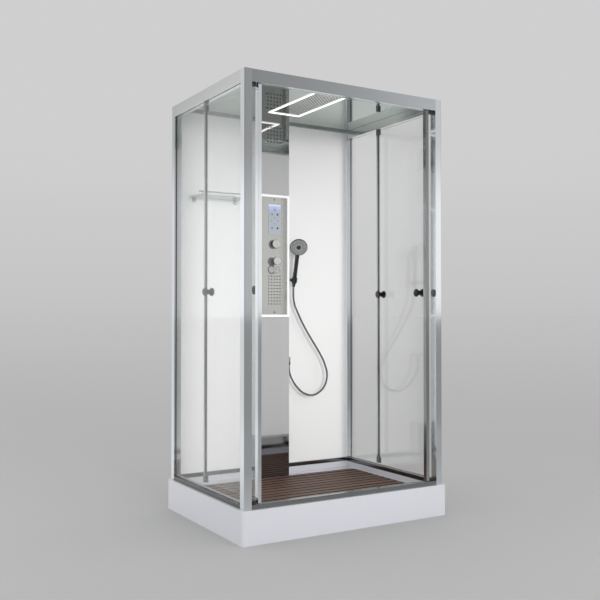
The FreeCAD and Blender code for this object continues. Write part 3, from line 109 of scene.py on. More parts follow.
def shader(name, colour, metallic=0.0, roughness=0.4, **sockets):
    """A material, its node tree and its Principled shader, with the shader's sockets set."""
    made = bpy.data.materials.new(name)
    made.use_nodes = True
    main = made.node_tree.nodes["Principled BSDF"]
    main.inputs["Base Color"].default_value = (*colour, 1)
    main.inputs["Metallic"].default_value = metallic
    main.inputs["Roughness"].default_value = roughness
    for socket, value in sockets.items():
        main.inputs[socket.replace("_", " ")].default_value = value
    return made, made.node_tree, main


def axes(tree, kind):
    """A kind of texture coordinate, split into X, Y and Z."""
    source = tree.nodes.new("ShaderNodeTexCoord")
    split = tree.nodes.new("ShaderNodeSeparateXYZ")
    tree.links.new(source.outputs[kind], split.inputs["Vector"])
    return split.outputs


def share_of(tree, value, low, high):
    """How far a value is on its way from a low to a high one, from 0 to 1."""
    node = tree.nodes.new("ShaderNodeMapRange")
    node.inputs["From Min"].default_value = low
    node.inputs["From Max"].default_value = high
    tree.links.new(value, node.inputs["Value"])
    return node.outputs["Result"]


def reckoned(tree, operation, value, other=None):
    """The result of a math node on a value and, where it has two, a value or a number."""
    node = tree.nodes.new("ShaderNodeMath")
    node.operation = operation
    tree.links.new(value, node.inputs[0])
    if isinstance(other, (int, float)):
        node.inputs[1].default_value = other
    elif other is not None:
        tree.links.new(other, node.inputs[1])
    return node.outputs[0]


def product(tree, first, second):
    """Two colours multiplied."""
    node = tree.nodes.new("ShaderNodeVectorMath")
    node.operation = "MULTIPLY"
    tree.links.new(first, node.inputs[0])
    tree.links.new(second, node.inputs[1])
    return node.outputs["Vector"]


def ramp(tree, value, stops, smooth="LINEAR"):
    """A colour ramp over stops of (place, colour)."""
    node = tree.nodes.new("ShaderNodeValToRGB")
    node.color_ramp.interpolation = smooth
    while len(node.color_ramp.elements) < len(stops):
        node.color_ramp.elements.new(0.5)
    for element, (place, colour) in zip(node.color_ramp.elements, stops):
        element.position = place
        element.color = (*colour, 1)
    tree.links.new(value, node.inputs["Fac"])
    return node.outputs["Color"]


def noise(tree, scale, detail=3.0, stretch=(1, 1, 1)):
    """The grey output of a noise texture over stretched object coordinates."""
    source = tree.nodes.new("ShaderNodeTexCoord")
    mapping = tree.nodes.new("ShaderNodeMapping")
    mapping.inputs["Scale"].default_value = stretch
    tree.links.new(source.outputs["Object"], mapping.inputs["Vector"])
    texture = tree.nodes.new("ShaderNodeTexNoise")
    texture.inputs["Scale"].default_value = scale
    texture.inputs["Detail"].default_value = detail
    tree.links.new(mapping.outputs["Vector"], texture.inputs["Vector"])
    return texture.outputs["Fac"]


def bump(tree, main, height, strength, distance):
    """A bump on the shader from a grey value."""
    node = tree.nodes.new("ShaderNodeBump")
    node.inputs["Strength"].default_value = strength
    node.inputs["Distance"].default_value = distance
    tree.links.new(height, node.inputs["Height"])
    tree.links.new(node.outputs["Normal"], main.inputs["Normal"])


def varied(tree, main, value, low, high, socket="Roughness"):
    """A socket of the shader that runs between two values with a grey value."""
    node = tree.nodes.new("ShaderNodeMapRange")
    node.inputs["To Min"].default_value = low
    node.inputs["To Max"].default_value = high
    tree.links.new(value, node.inputs["Value"])
    tree.links.new(node.outputs["Result"], main.inputs[socket])


# Plain metals and plastics
LEAST_ROUGHNESS = 0.02
ALONG_X = (0.02, 1, 1)
ALONG_Y = (1, 0.02, 1)
ALONG_Z = (1, 1, 0.02)


def metal(name, colour, roughness, grain=(1, 1, 1), scale=60.0, depth=0.00002, spread=0.05,
          metallic=1.0):
    """Metal with drawing or brushing marks along the axis that the grain leaves short."""
    made, tree, main = shader(name, colour, metallic=metallic, roughness=roughness)
    marks = noise(tree, scale, detail=4.0, stretch=grain)
    varied(tree, main, marks, low=max(roughness - spread, LEAST_ROUGHNESS),
           high=roughness + spread)
    bump(tree, main, marks, strength=0.25, distance=depth)
    return made


def plastic(name, colour, roughness, scale=400.0, **sockets):
    """Moulded plastic with a fine surface."""
    made, tree, main = shader(name, colour, roughness=roughness, **sockets)
    marks = noise(tree, scale, detail=2.0)
    varied(tree, main, marks, low=roughness * 0.85, high=roughness * 1.15)
    bump(tree, main, marks, strength=0.3, distance=0.00003)
    return made


# painted shade: the beams along X get a darker copy of the aluminium than the posts and side beams
painted_shade_alu_x = metal("aluminium_painted_shade_along_x", (0.70, 0.73, 0.75), 0.16, ALONG_X)
alu_y = metal("aluminium_along_y", (0.84, 0.86, 0.86), 0.15, ALONG_Y)
alu_z = metal("aluminium_along_z", (0.86, 0.89, 0.92), 0.08, ALONG_Z, spread=0.03)
# painted shade: the stiles get a darker copy of the posts' aluminium
painted_shade_stile_z = metal("stile_painted_shade_along_z", (0.50, 0.51, 0.52), 0.12, ALONG_Z)
rail_x = metal("rail_along_x", (0.30, 0.313, 0.313), 0.14, ALONG_X)
# painted shade: the side rails get a darker copy of the rail metal than the rails along X
painted_shade_rail_y = metal("rail_painted_shade_along_y", (0.16, 0.168, 0.17), 0.14, ALONG_Y)
chrome = metal("chrome", (0.80, 0.80, 0.81), 0.06, scale=30.0, spread=0.02)
dark_chrome = metal("dark_chrome", (0.13, 0.135, 0.14), 0.1, scale=40.0, spread=0.03)
knob_chrome = metal("knob_chrome", (0.06, 0.06, 0.062), 0.07, scale=40.0, spread=0.02)
cap_satin = metal("cap_satin", (0.78, 0.78, 0.77), 0.30, scale=80.0, metallic=0.55)
steel_plate = metal("brushed_plate", (0.77, 0.77, 0.74), 0.10, ALONG_Z, scale=220.0,
                    depth=0.000004, spread=0.02, metallic=0.75)
screw_steel = metal("screw_steel", (0.05, 0.05, 0.05), 0.3, spread=0.08)
shelf_chrome = metal("shelf_chrome", (0.80, 0.81, 0.82), 0.08, spread=0.03)
zinc_steel = metal("zinc_steel", (0.55, 0.56, 0.58), 0.35, scale=25.0, spread=0.12)
mirror_roof = metal("mirror_roof", (0.50, 0.56, 0.525), 0.03, scale=2.0, depth=0.00001,
                    spread=0.01)
brass = metal("valve_brass", (0.72, 0.62, 0.40), 0.3, scale=50.0, spread=0.1)
copper = metal("copper_pipe", (0.80, 0.45, 0.32), 0.25, ALONG_Z, scale=40.0)
handset_chrome = metal("handset_chrome", (0.11, 0.115, 0.12), 0.12, scale=40.0, spread=0.04)
rim_chrome = metal("rim_chrome", (0.46, 0.47, 0.48), 0.14, scale=40.0, spread=0.04)
hose_metal = metal("hose_metal", (0.34, 0.34, 0.35), 0.24)
rain_steel = metal("rain_plate_steel", (0.60, 0.63, 0.615), 0.12, scale=30.0, depth=0.00001)
acrylic = plastic("white_acrylic", (0.62, 0.625, 0.67), 0.22, scale=90.0, Coat_Weight=0.4)
white_panel = plastic("white_panel", (0.92, 0.92, 0.915), 0.25, scale=60.0, Coat_Weight=0.2)
black_plastic = plastic("black_plastic", (0.03, 0.03, 0.033), 0.42)
drain_plastic = plastic("drain_plastic", (0.7, 0.7, 0.7), 0.45)
rubber = plastic("nozzle_rubber", (0.04, 0.04, 0.04), 0.5)
face_plastic = plastic("face_plastic", (0.40, 0.41, 0.415), 0.3, Coat_Weight=0.3)
mark_ink = plastic("touch_marks", (0.02, 0.02, 0.035), 0.4)
pale_ink = plastic("pale_touch_marks", (0.05, 0.055, 0.10), 0.4)
trim_plastic = plastic("trim_plastic", (0.14, 0.145, 0.145), 0.3)


# Glass
def glass(name, colour, least_alpha, roughness):
    """Thin clear sheet: see-through face on, mirroring at a low angle."""
    made, tree, main = shader(name, colour, metallic=1.0, roughness=roughness)
    slant = tree.nodes.new("ShaderNodeLayerWeight")
    slant.inputs["Blend"].default_value = 0.5
    steep = reckoned(tree, "POWER", slant.outputs["Facing"], 5)
    varied(tree, main, steep, low=least_alpha, high=1.0, socket="Alpha")
    waves = noise(tree, 1.5)
    varied(tree, main, waves, low=roughness * 0.7, high=roughness * 1.3)
    bump(tree, main, waves, strength=0.05, distance=0.0003)
    return made


clear_glass = glass("clear_glass", (0.90, 0.94, 0.93), 0.045, 0.03)
shelf_clear = glass("shelf_clear", (0.62, 0.72, 0.70), 0.20, 0.05)
seal_plastic = glass("seal_plastic", (0.80, 0.84, 0.85), 0.14, 0.2)

# Column: polished at its foot and top and brushed between them, by the share of its height
FOOT_END = 0.162
BRUSHED_LOW = 0.170
BRUSHED_HIGH = 0.904
TOP_START = 0.908
TOP_COLOUR = (0.76, 0.75, 0.74)
BRUSHED_STOPS = [(0.0, grey(0)), (FOOT_END, grey(0)), (BRUSHED_LOW, grey(1)),
                 (BRUSHED_HIGH, grey(1)), (TOP_START, grey(0)), (1.0, grey(0))]
COLUMN_STOPS = [(0.0, grey(0.42)), (FOOT_END, grey(0.42)), (BRUSHED_LOW, grey(0.78)),
                (BRUSHED_HIGH, grey(0.78)), (TOP_START, TOP_COLOUR), (1.0, TOP_COLOUR)]


def column_material():
    made, tree, main = shader("column_steel", grey(0.80))
    height = share_of(tree, axes(tree, "Object")["Z"], 0, COLUMN_TOP)
    brushed = ramp(tree, height, BRUSHED_STOPS)
    varied(tree, main, brushed, low=0.05, high=0.34)
    varied(tree, main, brushed, low=1.0, high=0.62, socket="Metallic")
    tree.links.new(ramp(tree, height, COLUMN_STOPS), main.inputs["Base Color"])
    grain = noise(tree, 90.0, detail=4.0, stretch=ALONG_Z)
    bump(tree, main, grain, strength=0.15, distance=0.000003)
    return made


steel_column = column_material()

# Turned chrome: polished fronts that face the doors, and sides with a painted reflection of a dark
# room, their base colour darkened by the share of the way that the surface turns from the doors to
# the rear
PAINTED_SIDE_REFLECTION_STOPS = [(0.0, grey(0.85)), (0.32, grey(0.75)), (0.42, grey(0.04)), (1.0, grey(0.02))]


def chrome_painted_side_reflection():
    made, tree, main = shader("chrome_painted_side_reflection", grey(0.8), metallic=0.6)
    side = share_of(tree, axes(tree, "Normal")["Y"], -1, 1)
    # painted reflection: the base colour goes dark on sides that turn away from the doors
    tree.links.new(ramp(tree, side, PAINTED_SIDE_REFLECTION_STOPS), main.inputs["Base Color"])
    marks = noise(tree, 40.0)
    varied(tree, main, marks, low=0.08, high=0.16)
    bump(tree, main, marks, strength=0.25, distance=0.00001)
    return made


chrome_with_painted_sides = chrome_painted_side_reflection()

# Lit covers
COVER_GREY = 0.55


def glowing(name, colour, strength, side_strength, axis):
    """Opal cover lit from behind, its thin sides dimmer than the face along an axis."""
    made, tree, main = shader(name, grey(COVER_GREY), roughness=0.35)
    facing = reckoned(tree, "ABSOLUTE", axes(tree, "Normal")[axis])
    varied(tree, main, facing, low=side_strength, high=strength, socket="Emission Strength")
    main.inputs["Emission Color"].default_value = (*colour, 1)
    bump(tree, main, noise(tree, 300.0), strength=0.2, distance=0.00002)
    return made


roof_light_cover = glowing("roof_light_cover", (0.97, 0.97, 0.96), 1.3, 0.8, "Z")
column_light_cover = glowing("column_light_cover", (0.95, 0.955, 0.95), 0.52, 0.12, "Y")

# Wood of the deck: the grain's colours, and the painted shade that darkens the sides that don't
# face up
WOOD_STOPS = [(0.25, (0.060, 0.030, 0.020)), (0.5, (0.130, 0.072, 0.050)),
              (0.8, (0.22, 0.135, 0.10))]
PAINTED_SHADE_STOPS = [(0.0, grey(0.03)), (0.93, grey(0.05)), (0.995, grey(1.0))]
WOOD_STRETCH = (0.12, 6.0, 6.0)


def wood():
    """Oiled slats, grained along X, with painted shade that makes the sides facing the gaps nearly
    black.
    """
    made, tree, main = shader("dark_wood", (0.1, 0.07, 0.05), roughness=0.5,
                              Specular_IOR_Level=0.3)
    grain = noise(tree, 14.0, detail=6.0, stretch=WOOD_STRETCH)
    top = ramp(tree, grain, WOOD_STOPS)
    # painted shade: base colour nearly black wherever the normal doesn't face up
    painted_side_shade = ramp(tree, axes(tree, "Normal")["Z"], PAINTED_SHADE_STOPS)
    tree.links.new(product(tree, top, painted_side_shade), main.inputs["Base Color"])
    varied(tree, main, grain, low=0.42, high=0.6)
    bump(tree, main, grain, strength=0.4, distance=0.0004)
    return made


dark_wood = wood()

# Display: a pale blue lit face, brighter towards its top
DISPLAY_STOPS = [(0.0, (0.30, 0.32, 0.36)), (0.72, (0.29, 0.32, 0.36)),
                 (0.80, (0.30, 0.33, 0.48)), (0.94, (0.36, 0.40, 0.56)),
                 (1.0, (0.62, 0.66, 0.74))]


def display_material():
    made, tree, main = shader("display_face", (0.3, 0.33, 0.41), roughness=0.08)
    height = share_of(tree, axes(tree, "Object")["Z"], DISPLAY_LOW, DISPLAY_TOP)
    colour = ramp(tree, height, DISPLAY_STOPS)
    tree.links.new(colour, main.inputs["Base Color"])
    tree.links.new(colour, main.inputs["Emission Color"])
    main.inputs["Emission Strength"].default_value = 0.5
    return made


display_face = display_material()

FINISH = {
    acrylic: ["shower_tray"],
    zinc_steel: ["tray_frame", "levelling_feet"],
    drain_plastic: ["drain_trap", "rain_chamber"],
    steel_plate: ["drain_cover", "control_plate"],
    rain_steel: ["rain_plate"],
    dark_wood: ["deck_slats", "deck_battens"],
    alu_z: ["front_left_post", "front_right_post", "rear_left_post", "rear_right_post",
            "left_hinge_stile"],
    # painted shade: darker aluminium on the stiles
    painted_shade_stile_z: ["left_closing_stile", "right_closing_stile", "right_hinge_stile"],
    # painted shade: darker aluminium on the beams along X
    painted_shade_alu_x: ["front_top_beam", "rear_top_beam", "beam_end_keys"],
    alu_y: ["left_top_beam", "right_top_beam"],
    rail_x: ["front_sill", "rear_bottom_rail"],
    # painted shade: darker rail metal on the rails along Y
    painted_shade_rail_y: ["left_bottom_rail", "right_bottom_rail"],
    clear_glass: ["left_side_glass", "right_side_glass", "left_door_glass", "right_door_glass"],
    shelf_clear: ["shelf_glass"],
    white_panel: ["rear_panels"],
    mirror_roof: ["roof_panel"],
    roof_light_cover: ["ceiling_light"],
    column_light_cover: ["column_light"],
    steel_column: ["column_shell"],
    screw_steel: ["plate_screws"],
    dark_chrome: ["mixer_hub", "handset_holder", "hose_nuts"],
    knob_chrome: ["left_door_knobs", "right_door_knobs"],
    # painted reflection: dark sides on the valve collars, dial and lever
    chrome_with_painted_sides: ["valve_collars", "diverter_knob", "mixer_lever"],
    shelf_chrome: ["shelf_rail"],
    display_face: ["display"],
    rubber: ["body_jets"],
    brass: ["diverter_valve", "mixer_valve"],
    chrome: ["hose_outlet"],
    copper: ["riser_pipe"],
    seal_plastic: ["jamb_seals"],
    black_plastic: ["jamb_blocks"],
    trim_plastic: ["left_edge_trim", "right_edge_trim"],
}
for finish, names in FINISH.items():
    for name in names:
        slots = nodes[name].data.materials
        slots.clear()
        slots.append(finish)


# Edges: the machined or moulded rounding that each CAD piece has, by its width
SOFT_EDGES = {
    0.006: ["deck_slats"],
    0.004: ["shower_tray"],
    0.0015: ["front_top_beam", "left_top_beam", "right_top_beam", "column_light",
             "column_shell"],
    0.0012: ["front_left_post", "front_right_post", "rear_left_post", "rear_right_post",
             "front_sill", "left_bottom_rail", "right_bottom_rail", "rear_bottom_rail"],
    0.001: ["rear_top_beam", "ceiling_light", "display", "jamb_blocks", "left_hinge_stile",
            "right_hinge_stile", "left_closing_stile", "right_closing_stile", "rain_chamber"],
    0.0008: ["shelf_glass", "left_door_knobs", "right_door_knobs", "valve_collars",
             "handset_holder", "levelling_feet"],
    0.0006: ["left_door_glass", "right_door_glass", "left_side_glass", "right_side_glass",
             "diverter_knob", "mixer_lever", "hose_nuts", "hose_outlet", "left_edge_trim",
             "right_edge_trim"],
    0.0005: ["mixer_hub", "shelf_rail"],
    0.0004: ["plate_screws"],
}
WELD_DISTANCE = 0.00001
EDGE_SEGMENTS = 2
EDGE_ANGLE = 40


def soften(thing, width):
    """Rounds the sharp edges of a CAD node with modifiers."""
    thing.data.polygons.foreach_set("use_smooth", [True] * len(thing.data.polygons))
    weld = thing.modifiers.new("weld", "WELD")
    weld.merge_threshold = WELD_DISTANCE
    round_off = thing.modifiers.new("round", "BEVEL")
    round_off.width = width
    round_off.segments = EDGE_SEGMENTS
    round_off.limit_method = "ANGLE"
    round_off.angle_limit = math.radians(EDGE_ANGLE)
    even = thing.modifiers.new("even", "WEIGHTED_NORMAL")
    even.keep_sharp = False


for width, names in SOFT_EDGES.items():
    for name in names:
        soften(nodes[name], width)

# Building blocks of the new pieces
SHARP_ANGLE = 35


def lathe(profile, sides):
    """Points and faces of a form turned about Z from (radius, height) pairs."""
    spots = []
    rings = []
    for radius, height in profile:
        count = sides if radius > 0 else 1
        rings.append((len(spots), count))
        for j in range(count):
            turn = 2 * math.pi * j / sides
            spots.append(Vector((radius * math.cos(turn), radius * math.sin(turn), height)))
    faces = []
    for (low, low_count), (high, high_count) in zip(rings, rings[1:]):
        for j in range(sides):
            corners = [low + j % low_count, low + (j + 1) % low_count,
                       high + (j + 1) % high_count, high + j % high_count]
            corners = list(dict.fromkeys(corners))
            if len(corners) > 2:
                faces.append(corners)
    return spots, faces


def tile(outline, thick):
    """Points and faces of a flat form in the XY plane, from its outline."""
    count = len(outline)
    spots = [Vector((x, y, z)) for z in (0, thick) for x, y in outline]
    faces = [list(range(count)), list(range(count, 2 * count))]
    for k in range(count):
        after = (k + 1) % count
        faces.append([k, after, count + after, count + k])
    return spots, faces


def joined(name, *forms):
    """One mesh out of pairs of a form and its place."""
    spots = []
    faces = []
    for (form_spots, form_faces), place in forms:
        first = len(spots)
        spots += [place @ spot for spot in form_spots]
        faces += [[first + k for k in face] for face in form_faces]
    mesh = bpy.data.meshes.new(name)
    mesh.from_pydata(spots, [], faces)
    shape = bmesh.new()
    shape.from_mesh(mesh)
    bmesh.ops.recalc_face_normals(shape, faces=shape.faces)
    for face in shape.faces:
        face.smooth = True
    shape.to_mesh(mesh)
    shape.free()
    mesh.set_sharp_from_angle(angle=math.radians(SHARP_ANGLE))
    return mesh


def piece(name, mesh, finish, body="cabin"):
    """A mesh as an object with its material, riding on a body."""
    mesh.materials.append(finish)
    thing = bpy.data.objects.new(name, mesh)
    bpy.context.scene.collection.objects.link(thing)
    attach(thing, body)
    return thing


def turned_piece(name, profile, sides, places, finish, body="cabin"):
    """A piece out of one turned form that stands at each of the places."""
    form = lathe(profile, sides)
    mesh = joined(name, *((form, place) for place in places))
    return piece(name, mesh, finish, body)


def facing_doors(x, y, z):
    """The place of a form that stands out towards the doors."""
    return Matrix.Translation((x, y, z)) @ rotation(("X", 90))


def facing_down(x, y, z):
    """The place of a form that hangs down from the roof."""
    return Matrix.Translation((x, y, z)) @ rotation(("X", 180))


def around(count):
    """The angles of so many even steps round a circle."""
    return [2 * math.pi * k / count for k in range(count)]


def nurbs_line(name, route):
    """Points of the smooth line that a route guides, close together."""
    curve = bpy.data.curves.new(name, "CURVE")
    curve.dimensions = "3D"
    spline = curve.splines.new("NURBS")
    spline.points.add(len(route) - 1)
    for point, spot in zip(spline.points, route):
        point.co = (*spot, 1)
    spline.order_u = 3
    spline.use_endpoint_u = True
    spline.resolution_u = 24
    holder = bpy.data.objects.new(name, curve)
    bpy.context.scene.collection.objects.link(holder)
    bpy.context.view_layer.update()
    line = bpy.data.meshes.new_from_object(holder)
    points = [vertex.co.copy() for vertex in line.vertices]
    bpy.data.objects.remove(holder)
    bpy.data.meshes.remove(line)
    return points


def evenly(points, step):
    """The same line with its points an even step apart."""
    runs = [(b - a).length for a, b in zip(points, points[1:])]
    total = sum(runs)
    count = round(total / step)
    spots = []
    reached = 0.0
    k = 0
    for i in range(count + 1):
        target = total * i / count
        while k < len(runs) - 1 and reached + runs[k] < target:
            reached += runs[k]
            k += 1
        share = (target - reached) / runs[k]
        spots.append(points[k].lerp(points[k + 1], min(share, 1.0)))
    return spots


def sweep(name, spots, radius_at, sides):
    """A closed tube round a line, its radius given for each point of it."""
    mesh = bmesh.new()
    normal = None
    rings = []
    for k, spot in enumerate(spots):
        ahead = spots[min(k + 1, len(spots) - 1)] - spots[max(k - 1, 0)]
        ahead.normalize()
        if normal is None:
            normal = ahead.orthogonal().normalized()
        normal = (normal - ahead * normal.dot(ahead)).normalized()
        side = ahead.cross(normal)
        rings.append([mesh.verts.new(spot + radius_at(k) * (
            normal * math.cos(turn) + side * math.sin(turn))) for turn in around(sides)])
    for low, high in zip(rings, rings[1:]):
        for j in range(sides):
            mesh.faces.new((low[j], low[(j + 1) % sides], high[(j + 1) % sides], high[j]))
    mesh.faces.new(list(reversed(rings[0])))
    mesh.faces.new(rings[-1])
    for face in mesh.faces:
        face.smooth = True
    data = bpy.data.meshes.new(name)
    mesh.to_mesh(data)
    mesh.free()
    return data


# Camera
camera_data = bpy.data.cameras.new("camera")
camera_data.lens = CAMERA_LENS
camera_data.sensor_width = CAMERA_SENSOR
camera = bpy.data.objects.new("camera", camera_data)
camera.location = CAMERA_SPOT
camera.rotation_euler = Euler((math.radians(90 + CAMERA_PITCH), 0, math.radians(-CAMERA_YAW)))
bpy.context.scene.collection.objects.link(camera)
bpy.context.scene.camera = camera

# Hose: a wound metal tube along the route's own spline
nut_end = HANDLE_LOW + NUT_LENGTH
hose_route = [LEANING @ Vector((0, 0, -nut_end)), LEANING @ Vector((0, 0, -nut_end - NUT_LENGTH))]
hose_route += [Vector(spot) for spot in HOSE_ROUTE] + [Vector(OUTLET_END)]
line = evenly(nurbs_line("hose_route", hose_route), RIB_PITCH / len(RIB_SHAPE))


def hose_radius(k):
    """The hose's radius at a point of its line, on a rib or between two."""
    return HOSE_DIAMETER / 2 - RIB_DEPTH * (1 - RIB_SHAPE[k % len(RIB_SHAPE)])


hose = piece("hose", sweep("hose", line, hose_radius, HOSE_SIDES), hose_metal)
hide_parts("shower_hose")

# Hand shower's handle: a swelling tube that runs into the head's back, from its line and from
# its radius by height
HANDLE_SIDES = 32
HANDLE_STEP = 0.002
HANDLE_ROUTE = [(0, 0, -0.0216), (0, 0, 0.02), (0, 0, 0.09), (0, 0.001, 0.125), (0, 0.003, 0.150),
                (0, 0.002, 0.172), (0, -0.004, 0.192)]
HANDLE_RADII = [(-0.022, 0.0118), (-0.016, 0.0125), (0.020, 0.0125), (0.085, 0.0114),
                (0.125, 0.0120), (0.145, 0.0126), (0.165, 0.0106), (0.180, 0.0076),
                (0.192, 0.0030)]
handle_line = evenly(nurbs_line("handle_route", [Vector(spot) for spot in HANDLE_ROUTE]),
                     HANDLE_STEP)


def handle_radius(k):
    """The handle's radius at a point of its line, between the listed ones."""
    height = handle_line[k].z
    for (low, small), (high, large) in zip(HANDLE_RADII, HANDLE_RADII[1:]):
        if height <= high:
            share = (height - low) / (high - low)
            return small + (large - small) * share
    return HANDLE_RADII[-1][1]


handle_mesh = sweep("handset_body", handle_line, handle_radius, HANDLE_SIDES)
handle_mesh.transform(HANDSET)
handset_body = piece("handset_body", handle_mesh, handset_chrome, "handset")
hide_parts("hand_shower")

# Hand shower's head: dished, with a face, a centre button, and rings of nozzles given by
# (radius, count, height)
HEAD_PROFILE = [(0, -0.0105), (0.018, -0.0102), (0.034, -0.0085), (0.045, -0.0045),
                (0.0508, 0.0015), (0.052, 0.0055), (0.0512, 0.0088), (0.0485, 0.0105),
                (0.0460, 0.0098), (0.0452, 0.0082), (0, 0.0082)]
FACE_PROFILE = [(0, 0.0080), (0.0446, 0.0080), (0.0448, 0.0100), (0.0435, 0.0113),
                (0.0200, 0.0121), (0.0185, 0.0112), (0.0145, 0.0112), (0, 0.0112)]
BUTTON_PROFILE = [(0, 0.0108), (0.0132, 0.0108), (0.0132, 0.0122), (0.0120, 0.0128), (0, 0.0124)]
NUB_PROFILE = [(0, 0), (0.0021, 0), (0.0019, 0.0009), (0.0009, 0.0013), (0, 0.0011)]
SPRAY_RINGS = [(0.0395, 30, 0.0113), (0.0340, 26, 0.0115), (0.0285, 20, 0.0117),
               (0.0232, 16, 0.0119)]
turned_piece("handset_head", HEAD_PROFILE, 72, [HEAD], rim_chrome, "handset")
handset_spray = turned_piece("handset_spray", FACE_PROFILE, 72, [HEAD], face_plastic, "handset")
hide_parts("handset_face")
turned_piece("handset_button", BUTTON_PROFILE, 48, [HEAD], black_plastic, "handset")
nub_places = [HEAD @ Matrix.Translation((radius * math.cos(turn), radius * math.sin(turn), height))
              for radius, count, height in SPRAY_RINGS for turn in around(count)]
turned_piece("handset_nozzles", NUB_PROFILE, 10, nub_places, rubber, "handset")

# Rain plate: rubber nozzles in its holes and between them, on every second crossing of a
# grid, and its four screws
RAIN_STEP = 0.011
RAIN_COLUMNS_EACH_SIDE = 7
RAIN_ROWS_EACH_SIDE = 19
RAIN_SHIFT = -0.020
RAIN_SCREWS = [(-0.074, -0.238), (0.074, -0.238), (-0.074, 0.198), (0.074, 0.198)]
RAIN_NUB_PROFILE = [(0, 0), (0.0037, 0), (0.0034, 0.0007), (0.0018, 0.0013), (0, 0.0012)]
RAIN_SCREW_PROFILE = [(0, 0), (0.0045, 0), (0.0045, 0.0012), (0.0034, 0.0020), (0.0018, 0.0020),
                      (0.0018, 0.0010), (0, 0.0010)]
nub_places = [facing_down(column * RAIN_STEP, RAIN_SHIFT + row * RAIN_STEP, RAIN_LEVEL)
              for column in range(-RAIN_COLUMNS_EACH_SIDE, RAIN_COLUMNS_EACH_SIDE + 1)
              for row in range(-RAIN_ROWS_EACH_SIDE, RAIN_ROWS_EACH_SIDE + 1)
              if (column + row) % 2 == 0]
turned_piece("rain_nozzles", RAIN_NUB_PROFILE, 8, nub_places, rubber)
turned_piece("rain_plate_screws", RAIN_SCREW_PROFILE, 16,
             [facing_down(x, y, RAIN_LEVEL) for x, y in RAIN_SCREWS], dark_chrome)

# Jets: a rubber lip round each tip, on the plate and on the column's top, from the jets'
# pitch across and down, the level of the top row, and the number of rows
LIP_PROFILE = [(0, 0), (0.0034, 0), (0.0033, 0.0005), (0.0028, 0.0008), (0, 0.0008)]
JET_COLUMNS = (-2, -1, 0, 1, 2)
PLATE_JETS = (0.0185, 0.0177, 1.274, 10)
TOP_JETS = (0.0204, 0.0204, 2.1248, 5)
lip_places = [facing_doors(column * across, face, top - row * down)
              for face, (across, down, top, rows) in ((PLATE_FACE, PLATE_JETS),
                                                      (COLUMN_FACE, TOP_JETS))
              for row in range(rows) for column in JET_COLUMNS]
turned_piece("jet_lips", LIP_PROFILE, 12, lip_places, rubber)

# Screw heads: dark domes on the plate, bright ones beside the upper jets
SCREW_HEAD_PROFILE = [(0, 0), (0.0042, 0), (0.0040, 0.0006), (0.0026, 0.0011), (0.0012, 0.0012),
                      (0, 0.0009)]
PLATE_SCREW_LEVELS = (1.068, 1.712)
TOP_SCREW_SIDE = 0.0528
TOP_SCREW_MIDDLE = 2.084
TOP_SCREW_RISE = 0.0408
turned_piece("plate_screw_heads", SCREW_HEAD_PROFILE, 20,
             [facing_doors(0, PLATE_FACE, level) for level in PLATE_SCREW_LEVELS], screw_steel)
turned_piece("top_screw_heads", SCREW_HEAD_PROFILE, 20,
             [facing_doors(side * TOP_SCREW_SIDE, COLUMN_FACE,
                           TOP_SCREW_MIDDLE + end * TOP_SCREW_RISE)
              for side in (-1, 1) for end in (-1, 1)], cap_satin)

# Dial and lever caps: shallow domes, the dial's with a turned groove, and the dial's index line
DIAL_CAP_PROFILE = [(0, 0), (0.0212, 0), (0.0210, 0.0005), (0.0185, 0.0008), (0.0182, 0.0004),
                    (0.0172, 0.0004), (0.0169, 0.0009), (0.010, 0.0014), (0, 0.0016)]
LEVER_CAP_PROFILE = [(0, 0), (0.0202, 0), (0.0200, 0.0006), (0.0140, 0.0011), (0, 0.0014)]
INDEX_LINE = [(-0.0006, 0.0178), (0.0006, 0.0178), (0.0006, 0.0212), (-0.0006, 0.0212)]
INDEX_THICK = 0.0012
dial_place = facing_doors(0, DIAL_FACE, DIVERTER_LEVEL)
lever_place = facing_doors(0, LEVER_FACE, MIXER_LEVEL)
turned_piece("dial_cap", DIAL_CAP_PROFILE, 64, [dial_place], cap_satin, "diverter_dial")
turned_piece("lever_cap", LEVER_CAP_PROFILE, 64, [lever_place], cap_satin, "mixer_lifting")
piece("dial_index", joined("dial_index", (tile(INDEX_LINE, INDEX_THICK), dial_place)),
      dark_chrome, "diverter_dial")

# Touch marks on the display: dots by (x, level, radius), rings by (x, level, outer and inner
# radius), and arrows by (x, level, degrees from pointing up)
MARK_THICK = 0.0003
MARK_SIDES = 28
ARROW_OUTLINE = [(-0.0055, -0.0030), (0, 0.0025), (0.0055, -0.0030), (0.0055, -0.0005),
                 (0, 0.0050), (-0.0055, -0.0005)]
DARK_DOTS = [(0.018, 1.627, 0.0055), (0.018, 1.549, 0.0058)]
DARK_ARROWS = [(0, 1.606, 0), (0, 1.574, 180)]
PALE_RINGS = [(0, 1.654, 0.0070, 0.0050), (-0.017, 1.627, 0.0055, 0.0030),
              (-0.017, 1.549, 0.0055, 0.0030)]
PALE_ARROWS = [(-0.019, 1.590, 90), (0.019, 1.590, -90)]


def dot_mark(x, z, radius):
    profile = [(0, 0), (radius, 0), (radius, MARK_THICK), (0, MARK_THICK)]
    return lathe(profile, MARK_SIDES), facing_doors(x, DISPLAY_FACE, z)


def ring_mark(x, z, outer, inner):
    profile = [(inner, 0), (outer, 0), (outer, MARK_THICK), (inner, MARK_THICK), (inner, 0)]
    return lathe(profile, MARK_SIDES), facing_doors(x, DISPLAY_FACE, z)


def arrow_mark(x, z, degrees):
    place = facing_doors(x, DISPLAY_FACE, z) @ rotation(("Z", degrees))
    return tile(ARROW_OUTLINE, MARK_THICK), place


